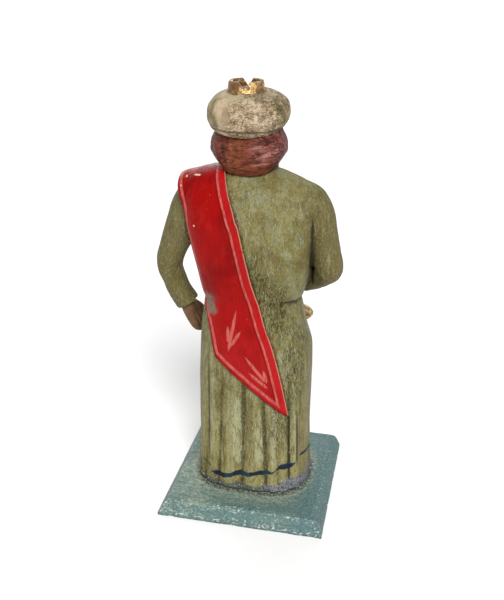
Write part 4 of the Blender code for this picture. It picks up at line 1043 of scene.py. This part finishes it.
def turban_form(material):
    """Turban of wound cloth, its turns parted by slanting grooves."""
    rises = np.pi * (np.arange(TURBAN_ROWS) + 0.5) / TURBAN_ROWS - np.pi / 2
    turns = np.arange(TURBAN_COLUMNS) * math.tau / TURBAN_COLUMNS
    rise, turn = np.meshgrid(rises, turns, indexing="ij")
    out = np.cos(rise) ** (2 / TURBAN_ROUNDNESS)
    up = np.sign(np.sin(rise)) * np.abs(np.sin(rise)) ** (2 / TURBAN_ROUNDNESS)
    wave = rise * TURBAN_FOLDS / 2 + TURBAN_FOLD_SLANT * TURBAN_FOLDS * np.sin(turn)
    groove = TURBAN_FOLD_DEPTH * (1 - np.abs(np.sin(wave))) ** TURBAN_FOLD_NARROWNESS * out
    rim = TURBAN_RIM_DEPTH * bump_at(rise - TURBAN_RIM_RISE, TURBAN_RIM_WIDTH)
    rim *= smooth_step(*TURBAN_RIM_BEHIND, np.cos(turn))
    lean = rise * TURBAN_SIDE_FOLD_SLANT
    folds = sum(bump_at(turn_from(turn, place) + lean, TURBAN_SIDE_FOLD_WIDTH)
                for place in TURBAN_SIDE_FOLDS)
    radius = TURBAN_RADIUS * out - groove * TURBAN_FOLD_SHARE - rim * out
    radius -= TURBAN_FOLD_DEPTH * folds * out * smooth_step(*TURBAN_SIDE_FOLD_FOOT, rise)
    ring = np.stack([radius * np.sin(turn), radius * np.cos(turn), TURBAN_HALF_HEIGHT * up], -1)
    size, depth, rise_by = TURBAN_DENTS
    dents = (noise_over(ring.reshape(-1, 3), size, 21) * depth + rise_by).reshape(radius.shape)
    ring *= 1 + dents[..., None] / TURBAN_RADIUS
    ring[..., 2] -= TURBAN_TILT * ring[..., 1] * np.where(up > 0, *TURBAN_TILT_SHARE[::-1])
    return carved("turban", ring + np.array(TURBAN_CENTRE), material)


def turned_form(name, centre, profile, sides, material, steps_between=1):
    """Turned form: a profile of (height, radius), from the top down its outer side."""
    profile = np.array(profile, dtype=float)
    samples = np.linspace(0, len(profile) - 1, (len(profile) - 1) * steps_between + 1)
    heights = np.interp(samples, range(len(profile)), profile[:, 0])
    radii = np.maximum(np.interp(samples, range(len(profile)), profile[:, 1]), 0.02)
    angles = np.arange(sides) * math.tau / sides
    rings = np.stack([
        centre[0] + radii[:, None] * np.sin(angles),
        centre[1] + radii[:, None] * np.cos(angles),
        np.repeat(heights[:, None], sides, axis=1),
    ], axis=-1)
    return carved(name, rings, material)


def crown_form(material):
    """Low crown with V notches between its merlons."""
    across, down = CROWN_ROUNDING
    inside_top = CROWN_TOP_RADIUS - CROWN_WALL
    profile = [
        (CROWN_FLOOR, 0.0),
        (CROWN_FLOOR, CROWN_RADIUS - CROWN_WALL),
        (FIGURE_UNITS - down, inside_top - CROWN_INNER_DRAFT),
        (FIGURE_UNITS, inside_top + across),
        (FIGURE_UNITS, CROWN_TOP_RADIUS - across),
        (FIGURE_UNITS - down, CROWN_TOP_RADIUS),
        (CROWN_FOOT_TOP, CROWN_RADIUS),
        (CROWN_FOOT_TOP - CROWN_FOOT_STEP, CROWN_FOOT_RADIUS),
        (CROWN_BASE, CROWN_FOOT_RADIUS),
        (CROWN_BASE, 0.0),
    ]
    crown = turned_form("crown", CROWN_CENTRE, profile, CROWN_SIDES, material)
    rise = FIGURE_UNITS - CROWN_NOTCH_BOTTOM
    for k in range(CROWN_NOTCHES):
        turn = math.radians(CROWN_NOTCH_TURN + 360 * k / CROWN_NOTCHES)
        outward = np.array((math.sin(turn), math.cos(turn), 0.0))
        sideways = np.array((math.cos(turn), -math.sin(turn), 0.0))
        middle = np.array((*CROWN_CENTRE, CROWN_NOTCH_BOTTOM)) + outward * CROWN_RADIUS
        rings = []
        for along in (-0.5, 0.5):
            end = middle + outward * along * CROWN_NOTCH_LENGTH
            top = end + np.array((0.0, 0.0, 2 * rise))
            rings.append([end, top + sideways * CROWN_NOTCH_WIDTH,
                          top - sideways * CROWN_NOTCH_WIDTH])
        combine(crown, carved("notch", np.array(rings), material), "DIFFERENCE", "EXACT")
    return crown


def fist_form(material):
    """Right hand closed round the neck of the jar."""
    steps = FINGER_COUNT * FINGER_STEPS
    top = FIST_BOTTOM + FINGER_COUNT * FINGER_THICKNESS
    profile = [(top, 0.0)]
    for step in range(steps + 1):
        share = step / steps
        roll = abs(math.sin(math.pi * FINGER_COUNT * share)) ** FINGER_ROUNDNESS
        radius = FIST_RADIUS * (1 - FINGER_ROLL * (1 - roll))
        profile.append((top - FINGER_COUNT * FINGER_THICKNESS * share, radius))
    profile.append((FIST_BOTTOM, 0.0))
    return turned_form("fist", FIST_CENTRE, profile, FIST_SIDES, material)


def left_hand_form(material):
    """Left hand hanging at the hip, the fingers parted by grooves."""
    samples = np.linspace(0, len(LEFT_HAND) - 1, LEFT_HAND_ROWS)
    line = np.stack([curve_through(samples, [(k, row[column]) for k, row in enumerate(LEFT_HAND)])
                     for column in range(5)], axis=-1)
    rings = []
    for k, (x, y, height, half_width, half_thickness) in enumerate(line):
        ahead = Vector(line[min(k + 1, len(line) - 1)][:3]) - Vector(line[max(k - 1, 0)][:3])
        ahead.normalize()
        turn = math.radians(LEFT_HAND_TURN)
        wide = Vector((math.cos(turn), math.sin(turn), 0.0))
        wide = (wide - ahead * wide.dot(ahead)).normalized()
        thick = np.array(ahead.cross(wide))
        angles = np.arange(LEFT_HAND_SIDES) * math.tau / LEFT_HAND_SIDES
        parted = smooth_step(*FINGER_GROOVE_START, samples[k]) * FINGER_GROOVE
        wave = np.abs(np.sin(np.cos(angles) * math.pi * FINGER_COUNT / 2))
        groove = parted * (1 - wave) ** 2
        out = half_thickness * np.sin(angles) * (1 - groove)
        rings.append(np.array((x, y, height)) + np.outer(half_width * np.cos(angles), wide)
                     + np.outer(out, thick))
    return carved("left_hand", np.array(rings), material)


class Paint:
    """Node tree of one surface, from its entry in the table of paints.

    A value is a socket, a number, a name, or one of these with the limits it runs between.
    """

    def __init__(self, name):
        self.facts = PAINTS[name]
        self.material = bpy.data.materials.new(name)
        self.material.use_nodes = True
        self.tree = self.material.node_tree
        self.shader = self.tree.nodes["Principled BSDF"]
        place = self.new("TexCoord", {}).outputs["Object"]
        self.place = self.new("VectorMath", {"Vector": place, "Scale": 1 / MILLIMETRE},
                              operation="SCALE").outputs[0]
        self.values = dict(zip("xyz", self.new("SeparateXYZ", {0: self.place}).outputs))
        for key, row in self.facts["noises"].items():
            self.values[key] = self.noise(*row)
        self.colour = self.mix(*self.facts["ground"])

    def put(self, socket, value):
        """Links a socket, or sets its value."""
        if isinstance(value, str):
            if value not in self.values:
                stored = self.new("Attribute", {}, attribute_name=value)
                self.values[value] = stored.outputs["Fac"]
            value = self.values[value]
        elif isinstance(value, tuple) and isinstance(value[0], (str, bpy.types.NodeSocket)):
            value = self.between(*value)
        if isinstance(value, bpy.types.NodeSocket):
            self.tree.links.new(value, socket)
        elif socket.type == "RGBA":
            socket.default_value = (*value, 1.0)
        else:
            socket.default_value = value

    def new(self, kind, inputs, **settings):
        """A node with its settings, and its inputs filled."""
        made = self.tree.nodes.new("ShaderNode" + kind)
        for key, value in settings.items():
            setattr(made, key, value)
        for key, value in inputs.items():
            self.put(made.inputs[key], value)
        return made

    def math(self, operation, first, *others):
        """Arithmetic on a value alone, or on several from the first to the last."""
        if not others:
            return self.new("Math", {0: first}, operation=operation).outputs[0]
        for value in others:
            first = self.new("Math", {0: first, 1: value}, operation=operation).outputs[0]
        return first

    def times(self, *values):
        """Product of several values."""
        return self.math("MULTIPLY", *values)

    def most(self, *values):
        """Largest of several values."""
        return self.math("MAXIMUM", *values)

    def off(self, value, middle):
        """How far a value is from its middle, on either side."""
        return self.math("ABSOLUTE", self.math("SUBTRACT", value, middle))

    def mapped(self, stretch, shift=0.0):
        """Place on the object in millimetres, stretched and shifted."""
        return self.new("Mapping", {
            "Vector": self.place,
            "Scale": tuple(1 / s for s in stretch),
            "Location": (shift, shift * 0.7, shift * 1.3),
        }).outputs[0]

    def noise(self, size, detail, stretch=PLAIN, distortion=0.0, rough=0.55, shift=0.0):
        """Noise of about 0 to 1, with features of a size in millimetres."""
        return self.new("TexNoise", {
            "Vector": self.mapped(stretch, shift),
            "Scale": 1 / size,
            "Detail": detail,
            "Roughness": rough,
            "Distortion": distortion,
        }).outputs["Fac"]

    def between(self, value, low, high):
        """0 where a value is at low, 1 where it is at high, smooth between."""
        return self.new("MapRange", {
            "Value": value,
            "From Min": min(low, high),
            "From Max": max(low, high),
            "To Min": float(low > high),
            "To Max": float(low <= high),
        }, interpolation_type="SMOOTHSTEP").outputs[0]

    def mix(self, share, first, second):
        """From the first colour to the second by a share."""
        return self.new("Mix", {0: share, 6: first, 7: second}, data_type="RGBA").outputs[2]

    def blend(self, share, first, second):
        """From the first number to the second by a share."""
        return self.new("Mix", {0: share, 2: first, 3: second}).outputs[0]

    def cracks(self, size, width, stretch):
        """1 on a net of fine cracks, 0 between."""
        place = self.mapped(stretch)
        wander = self.new("TexNoise", {"Vector": place, "Scale": 0.9 / size}).outputs["Color"]
        moved = self.new("VectorMath", {0: wander, 1: (size, size, size), 2: place},
                         operation="MULTIPLY_ADD").outputs[0]
        cells = self.new("TexVoronoi", {"Vector": moved, "Scale": 1 / size},
                         feature="DISTANCE_TO_EDGE")
        return self.between(cells.outputs["Distance"], width, width * CRACK_CORE)

    def stroke(self, start, end, half_width, soft=0.14):
        """1 on a brush stroke between two points of x and z in millimetres, thin at its ends."""
        dx = end[0] - start[0]
        dz = end[1] - start[1]
        length = math.hypot(dx, dz)
        px = self.math("SUBTRACT", "x", start[0])
        pz = self.math("SUBTRACT", "z", start[1])
        along = self.math("ADD", self.times(px, dx / length), self.times(pz, dz / length))
        aside = self.math("ADD", self.times(px, -dz / length), self.times(pz, dx / length))
        share = self.math("DIVIDE", along, length)
        body = self.times((share, *STROKE_START), (share, *STROKE_END))
        inside = self.math("SUBTRACT", self.times(body, half_width), self.off(aside, 0.0))
        return self.times((inside, -soft, soft), (body, 0.0, STROKE_TAPER))

    def strokes(self, rows, soft=0.14, reach=1.0):
        """1 on any of several strokes."""
        return self.most(*[self.stroke(start, end, wide * reach, soft)
                           for start, end, wide in rows])

    def lay(self, coats):
        """Lays coats over each other."""
        for colour, strength, *shares in coats:
            self.colour = self.mix(self.times(*shares, strength), self.colour, colour)

    def finish(self):
        """The material, with the coats, the roughness and the relief of its table."""
        self.lay(self.facts["coats"])
        rough = self.facts["roughness"]
        inputs = self.shader.inputs
        self.put(inputs["Base Color"], self.colour)
        self.put(inputs["Roughness"], self.blend(*rough) if isinstance(rough, tuple) else rough)
        inputs["Specular IOR Level"].default_value = self.facts["gloss"]
        height = self.math("ADD", *[self.times(*term) for term in self.facts["heights"].items()])
        relief = self.new("Bump", {"Distance": self.facts["relief"] * MILLIMETRE,
                                   "Strength": 1.0, "Height": height})
        self.put(inputs["Normal"], relief.outputs["Normal"])
        return self.material


def robe_paint():
    """Sage green over ochre, with patina in the hollows, a painted band at the hem, and painted
    shade and highlights on its folds, creases and sides.
    """
    p = Paint("painted_robe")
    v = p.values
    v["low"] = p.times(("z", 85, 16), p.blend(("patch", 0.3, 0.65), 0.35, 1.0))
    v["off_middle"] = p.off("x", 2.0)
    # Strokes of painted highlight, painted shade and painted shadow on the robe behind.
    for name, rows, soft, reach in (("light_lines", HIGHLIGHT_BANDS, 0.9, 1.2),
                                    ("brown_lines", SHADE_BANDS, 0.9, 1.2),
                                    ("dark_lines", CREASE_SHADOWS, 0.3, 1.0)):
        v[name] = p.times(p.strokes(rows, soft, reach), ("y", -10, -4))
    net = p.times(p.cracks(1.15, 0.11, (1, 1, 2.6)), ("grain", 0.62, 0.42), 0.6)
    spread = p.math("ADD", "scratched", p.math("SUBTRACT", p.times("patch", 1.6), 0.85))
    v["scratch"] = p.times(p.most(net, ("dashes", 0.46, 0.40)), (spread, 0.10, 0.80))
    v["grimy"] = p.blend(("grain", 0.65, 0.35), 0.6, 1.0)
    v["from_sash"] = p.math("MINIMUM", "sash_inner", "sash_end")
    v["ragged_foot"] = p.math("ADD", "foot", p.times(p.math("SUBTRACT", "patch", 0.5), 7.0))
    lilac = p.mix(("x", -4, -14), (0.105, 0.125, 0.125), (0.200, 0.200, 0.250))
    v["grey"] = p.mix(("grain", 0.38, 0.56), (0.018, 0.028, 0.034), lilac)
    middle = p.math("ADD", "hem", p.times(p.math("SUBTRACT", "wander", 0.5), 1.6))
    v["in_band"] = p.math("SUBTRACT", "hem_width", p.off(middle, 0.0))
    v["navy"] = p.mix(("patch", 0.52, 0.62), (0.004, 0.009, 0.028), (0.008, 0.045, 0.060))
    return p.finish()


def sash_paint():
    """Glossy deep red with a salmon border line and two sprigs, and painted shade along its outer
    side and ends.
    """
    p = Paint("painted_sash")
    v = p.values
    behind = ("y", 0, 2)

    def line(edge, limits, soft=0.18):
        """1 between two distances from an edge."""
        return p.times((edge, limits[0] - soft, limits[0] + soft),
                       (edge, limits[1] + soft, limits[1] - soft))

    v["from_end"] = p.math("MINIMUM", "sash_end", "sash_front")
    v["thin"] = p.blend(("brush", 0.34, 0.60), 0.45, 1.0)
    v["inner_dark"] = line("sash_inner", INNER_DARK)
    v["inner_bright"] = line("sash_inner", INNER_BRIGHT)
    sides = p.times(p.most(line("sash_inner", INNER_LINE), line("sash_outer", OUTER_LINE)),
                    ("from_end", 1.8, 2.6))
    ends = p.times(line("from_end", END_LINE), ("sash_inner", 3.0, 3.8), ("sash_outer", 1.4, 2.0))
    sprigs = [[(x * UNIT / MILLIMETRE, (z * UNIT + FOOT) / MILLIMETRE) for x, z in row]
              for row in SPRIG_STROKES]
    sprigs = p.strokes([(*row, SPRIG_HALF_WIDTH) for row in sprigs], 0.35)
    v["salmon"] = p.most(p.times(p.most(sides, ends), "thin"),
                         p.times(sprigs, behind, ("brush", 0.22, 0.52)))
    v["rubbed"] = p.times(p.stroke(*RUBBED, 2.6, 1.8), behind)
    # Painted shade along the sash's outer side and its ends.
    v["rim"] = p.most(("sash_outer", 1.2, 0.2), ("sash_end", 1.1, 0.2))
    v["chips"] = p.most(("nicks", 0.765, 0.785), p.times(p.strokes(SASH_CHIPS), behind))
    return p.finish()


def skin_paint():
    """Warm brown skin, with painted eyes, brows and lips on the face."""
    p = Paint("painted_skin")
    across = p.off("x", HEAD_CENTRE[0] * UNIT / MILLIMETRE)
    rise = p.math("SUBTRACT", "z", (FOOT + HEAD_CENTRE[2] * UNIT) / MILLIMETRE)
    for side, height, half_width, half_height, soft, strength, colour in FACE_MARKS:
        u = p.math("DIVIDE", p.math("SUBTRACT", across, side), half_width)
        v = p.math("DIVIDE", p.math("SUBTRACT", rise, height), half_height)
        reach = p.math("SQRT", p.math("ADD", p.times(u, u), p.times(v, v)))
        p.lay([(colour, strength, (reach, 1 + soft, 1 - soft), ("y", -10, -12), ("z", 150, 152))])
    p.values["grimy"] = p.blend("fine", 0.5, 1.0)
    return p.finish()


def hair_paint():
    """Reddish brown with strokes along the brush, and painted highlight and shade on the locks and
    sides.
    """
    p = Paint("painted_hair")
    v = p.values
    v["behind"] = p.between("y", 2, 6)
    for name in ("streak", "fine"):
        v[name] = p.blend("behind", name + "_down", name + "_across")
    v["off_middle"] = p.off("x", 3.0)
    # Strokes of painted highlight and painted shadow on the locks.
    v["light"] = p.strokes(LOCK_HIGHLIGHTS, 0.5)
    v["dark"] = p.strokes(LOCK_SHADOWS, 0.4)
    return p.finish()


def turban_paint():
    """Cream gesso and paint, crazed and rubbed, with painted shade toward the sides and along the
    side folds.
    """
    p = Paint("painted_turban")
    v = p.values
    v["off_middle"] = p.off("x", 3.6)
    v["greener"] = p.blend(("y", 0, 8), 0.55, 1.0)
    # Painted shade along the side folds.
    v["folds"] = p.strokes(TURBAN_FOLD_SHADES, 0.6)
    crazed = p.times(("x", 14, 4), ("patch", 0.66, 0.44))
    v["net"] = p.times(p.cracks(1.0, 0.10, (1.7, 1.7, 1)), crazed)
    v["worn"] = p.times(("marks", 0.45, 0.38), p.blend(("z", 204, 199), crazed, 1.0))
    wobble = p.times(p.math("SUBTRACT", "patch", 0.5), 3.0)
    v["from_rim"] = p.off(p.math("ADD", "z", wobble), 199.6)
    return p.finish()


def gold_paint():
    """Gold leaf over red-brown ground, rubbed through in places, with painted shade on one merlon.
    """
    p = Paint("gold_leaf")
    v = p.values
    # Painted shade: the outer face of one merlon behind, turned from the light, is darkened and
    # made less metallic.
    shaded = p.times(("x", 5, 7), ("y", 1, 4), ("z", 214, 216.5))
    v["bare"] = p.times(p.most(("wear", 0.53, 0.60), shaded, ("hollow", 0.25, 0.9)), 0.85)
    v["top"] = p.times(("z", 219.2, 219.8), ("fine", 0.36, 0.52))
    p.put(p.shader.inputs["Metallic"], p.blend(p.most("bare", "top"), 0.92, 0.2))
    return p.finish()


def board_paint():
    """Blue-grey paint, rubbed green and pale on top, chipped at the edges, with painted shade
    round the figure's foot.
    """
    p = Paint("painted_board")
    v = p.values
    near = p.times(("from_figure", 13, 1), ("streak", 0.30, 0.58), ("x", -38, -22))
    left = p.times(("x", 4, 30), ("broad", 0.3, 0.6), ("streak", 0.36, 0.60))
    v["rubbed"] = p.most(near, left)
    v["mottled"] = p.blend("rubbed", 0.30, 1.0)
    v["pitted"] = p.blend(("from_figure", 16, 2), 0.45, 1.0)
    v["bare"] = p.math("SUBTRACT", "flake", p.blend(("y", 30, 36), 0.615, 0.585))
    return p.finish()


def surface_values(mesh, fine_rounds=3, broad_rounds=16):
    """Stores how hollow and how ridged the surface is at each vertex, 0 to about 1."""
    points = points_of(mesh)
    normals = normals_of(mesh)
    pairs = edges_of(mesh)
    fine = smoothed(points, pairs, fine_rounds)
    broad = smoothed(points, pairs, broad_rounds)
    fine_depth = ((fine - points) * normals).sum(1) / (HOLLOW_DEPTHS[0] * MILLIMETRE)
    broad_depth = ((broad - points) * normals).sum(1) / (HOLLOW_DEPTHS[1] * MILLIMETRE)
    depth = smoothed(0.5 * fine_depth + 0.5 * broad_depth, pairs, 2)
    store(mesh, "hollow", np.clip(depth, 0, HOLLOW_LIMIT))
    store(mesh, "ridge", np.clip(-depth, 0, HOLLOW_LIMIT))


def store(mesh, name, values):
    """Keeps a value at each vertex for the paint."""
    attribute = mesh.attributes.new(name, "FLOAT", "POINT")
    attribute.data.foreach_set("value", values.astype(np.float32))


def nearest(points, line):
    """Distance in millimetres from each point to a line of points."""
    dense = np.concatenate([
        a + (b - a) * np.linspace(0, 1, 5, endpoint=False)[:, None]
        for a, b in zip(line[:-1], line[1:])])
    tree = KDTree(len(dense))
    for k, point in enumerate(dense):
        tree.insert(point, k)
    tree.balance()
    return np.array([tree.find(point)[2] for point in points]) / MILLIMETRE


def keep_inside(mesh, low, high):
    """Keeps every vertex in the node's own box."""
    put_points(mesh, np.clip(points_of(mesh), np.array(low), np.array(high)))


def figure_piece(paints):
    """The carved figure as one closed mesh, with the values its paint reads."""
    robe = robe_form(paints["robe"])
    sash, edges = sash_form(robe, paints["sash"])
    moustache_right = [(2 * HEAD_CENTRE[0] - x, *rest) for x, *rest in MOUSTACHE]
    forms = [
        sash,
        head_form(paints["skin"]),
        hair_form(paints["hair"]),
        beard_form(paints["hair"]),
        carved("moustache_left", tube_rings(MOUSTACHE, DIGIT_SIDES), paints["hair"]),
        carved("moustache_right", tube_rings(moustache_right, DIGIT_SIDES), paints["hair"]),
        turban_form(paints["turban"]),
        crown_form(paints["gold"]),
        turned_form("jar", JAR_CENTRE, JAR, JAR_SIDES, paints["gold"], JAR_STEPS),
        carved("right_wrist", tube_rings(RIGHT_WRIST, WRIST_SIDES), paints["skin"]),
        fist_form(paints["skin"]),
        carved("right_thumb", tube_rings(RIGHT_THUMB, DIGIT_SIDES), paints["skin"]),
        left_hand_form(paints["skin"]),
        carved("left_thumb", tube_rings(LEFT_THUMB, DIGIT_SIDES), paints["skin"]),
    ]
    for form in forms:
        combine(robe, form)
    mesh = robe.data
    keep_inside(mesh, FIGURE_LOW, FIGURE_HIGH)
    surface_values(mesh)
    points = points_of(mesh)
    units = in_units(points)
    for name, edge in zip(("sash_inner", "sash_outer", "sash_end", "sash_front"), edges):
        store(mesh, name, nearest(points, edge))
    angle = np.degrees(np.arctan2(units[:, 0], units[:, 1]))
    height, width, foot = columns_over(HEM_BAND, angle)
    store(mesh, "hem", units[:, 2] - height)
    store(mesh, "hem_width", width)
    store(mesh, "foot", units[:, 2] - foot)
    shift = columns_over(ROBE, units[:, 2])[4]
    deep, share = creases_at(np.arctan2(units[:, 0] - shift, units[:, 1]), units[:, 2])
    deep = np.clip(deep / VALLEY_DEPTH, 0, VALLEY_LIMIT)
    store(mesh, "valley", (1 - np.sin(np.pi * share)) * deep)
    rear = units[:, 1] > 0
    scratched = sum(bump_at(units[:, 0] - x, wide) * bump_at(units[:, 2] - z, tall)
                    for x, z, wide, tall in SCRATCHED)
    store(mesh, "scratched", np.clip(scratched * rear, 0, 1) + SCRATCHED_ALL_OVER)
    stain = bump_at(angle - STAIN_TURN, STAIN_REACH[0])
    stain *= bump_at(units[:, 2] - STAIN_HEIGHT, STAIN_REACH[1])
    store(mesh, "stain", stain)
    mesh.shade_smooth()
    mesh.set_sharp_from_angle(angle=math.radians(SHARP_ANGLES[0]))
    return robe


def plinth_piece(material):
    """Board with planed bevels, a little uneven, its edges rubbed and one corner lost."""
    half = PLINTH_HIGH.x / MILLIMETRE
    top = PLINTH_HIGH.z / MILLIMETRE
    flat = half - PLINTH_BEVEL_RUN
    beside = flat + np.array(FLAT_EDGE_ROWS)
    bevel = half - np.array(BEVEL_ROWS)
    inside = np.linspace(-flat + 1.0, flat - 1.0, PLINTH_STEPS)
    line = np.concatenate([-bevel, -beside, inside, beside[::-1], bevel[::-1]])
    line.sort()
    x, y = np.meshgrid(line, line, indexing="ij")
    reach = np.maximum(np.abs(x), np.abs(y))
    slope = (top - PLINTH_UPRIGHT_EDGE) / PLINTH_BEVEL_RUN
    z = np.minimum(top, PLINTH_UPRIGHT_EDGE + (half - reach) * slope)
    surface = np.stack([x, y, z], -1).reshape(-1, 3)
    size, height, sink = BOARD_UNEVEN
    uneven = noise_over(surface, size, 31) * height - sink
    depth, width, size = BOARD_RUB
    rub = depth * bump_at(reach.ravel() - flat, width) * (1 + noise_over(surface, size, 32))
    surface[:, 2] += uneven - np.clip(rub, 0, 0.5)
    count = len(line)
    index = np.arange(count * count).reshape(count, count)
    ring = np.concatenate([index[:-1, 0], index[-1, :-1], index[:0:-1, -1], index[0, :0:-1]])
    foot = surface[ring] * np.array([1, 1, 0])
    points = np.concatenate([surface, foot])
    bite = BOARD_BITE_ALL_OVER + sum(
        smooth_step(low, high, noise_over(points, size, seed)) * depth
        for size, seed, low, high, depth in BOARD_BITES)
    edge = np.maximum(np.abs(points[:, 0]), np.abs(points[:, 1])) > half - 0.2
    points[:, :2] *= 1 - (bite * edge / half)[:, None]
    lost = points[:, 2] * LOST_CORNER_LEAN - points[:, 0] - points[:, 1] - LOST_CORNER
    points[:, :2] += np.maximum(lost, 0)[:, None] / 2
    high = np.abs(points[:, 2] - top) < 0.6
    points[:, 2] -= np.clip(lost + 3.0, 0, 1.2) * high * 0.5
    faces = []
    for i in range(count - 1):
        for j in range(count - 1):
            a, b, c, d = index[i, j], index[i + 1, j], index[i + 1, j + 1], index[i, j + 1]
            if (line[i] + line[i + 1]) * (line[j] + line[j + 1]) > 0:
                faces += [(int(a), int(b), int(c)), (int(a), int(c), int(d))]
            else:
                faces += [(int(a), int(b), int(d)), (int(b), int(c), int(d))]
    low = count * count + np.arange(len(ring))
    for k in range(len(ring)):
        after = (k + 1) % len(ring)
        faces.append((int(ring[k]), int(low[k]), int(low[after]), int(ring[after])))
    faces.append([int(k) for k in low])
    board = add_mesh("plinth_painted", points * MILLIMETRE, faces, material)
    mesh = board.data
    keep_inside(mesh, PLINTH_LOW, PLINTH_HIGH)
    surface_values(mesh)
    place = points_of(mesh) / UNIT
    angle = np.arctan2(place[:, 0], place[:, 1])
    half_width, behind, front, squareness, shift = [float(v) for v in columns_over(ROBE, 0.0)]
    outline = oval_radius(angle, half_width, behind, front, squareness)
    store(mesh, "from_figure", np.hypot(place[:, 0], place[:, 1]) - outline)
    mesh.shade_smooth()
    mesh.set_sharp_from_angle(angle=math.radians(SHARP_ANGLES[1]))
    return board


def soft_light(name, source, strength, width):
    """Wide sunlight from a direction."""
    data = bpy.data.lights.new(name, "SUN")
    data.energy = strength
    data.angle = math.radians(width)
    light = bpy.data.objects.new(name, data)
    light.rotation_mode = "QUATERNION"
    light.rotation_quaternion = (-Vector(source)).to_track_quat("-Z", "Y")
    bpy.context.scene.collection.objects.link(light)
    return light


def make_stage():
    """Pale floor, soft lights and the camera."""
    floor_mesh = bpy.data.meshes.new("floor")
    signs = ((-1, -1), (1, -1), (1, 1), (-1, 1))
    corners = [(x * FLOOR_HALF, y * FLOOR_HALF, 0) for x, y in signs]
    floor_mesh.from_pydata(corners, [], [(0, 1, 2, 3)])
    floor = bpy.data.objects.new("floor", floor_mesh)
    bpy.context.scene.collection.objects.link(floor)
    floor_mesh.materials.append(Paint("pale_floor").finish())
    [soft_light(*light) for light in LIGHTS]
    world = bpy.data.worlds.new("studio")
    world.use_nodes = True
    tree = world.node_tree
    background = tree.nodes["Background"]
    background.inputs["Color"].default_value = (1.0, 1.0, 1.0, 1.0)
    seen = tree.nodes.new("ShaderNodeLightPath")
    strength = tree.nodes.new("ShaderNodeMapRange")
    strength.inputs["To Min"].default_value = SKY_STRENGTH
    strength.inputs["To Max"].default_value = 1.0
    tree.links.new(seen.outputs["Is Camera Ray"], strength.inputs["Value"])
    tree.links.new(strength.outputs[0], background.inputs["Strength"])
    bpy.context.scene.world = world
    camera_data = bpy.data.cameras.new("camera")
    camera_data.lens = CAMERA_LENS
    camera_data.sensor_width = SENSOR
    camera = bpy.data.objects.new("camera", camera_data)
    pitch = math.radians(CAMERA_PITCH)
    forward = Vector((CAMERA_FORWARD[0] * math.cos(pitch), CAMERA_FORWARD[1] * math.cos(pitch),
                      -math.sin(pitch)))
    camera.location = CAMERA_PLACE
    camera.rotation_mode = "QUATERNION"
    camera.rotation_quaternion = forward.to_track_quat("-Z", "Y")
    bpy.context.scene.collection.objects.link(camera)
    bpy.context.scene.camera = camera
    bpy.context.scene.view_settings.view_transform = "Standard"


paints = {
    "robe": robe_paint(),
    "sash": sash_paint(),
    "skin": skin_paint(),
    "hair": hair_paint(),
    "turban": turban_paint(),
    "gold": gold_paint(),
}
figure = figure_piece(paints)
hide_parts("figure")
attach(figure, "root")

board = plinth_piece(board_paint())
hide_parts("plinth")
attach(board, "root")

make_stage()
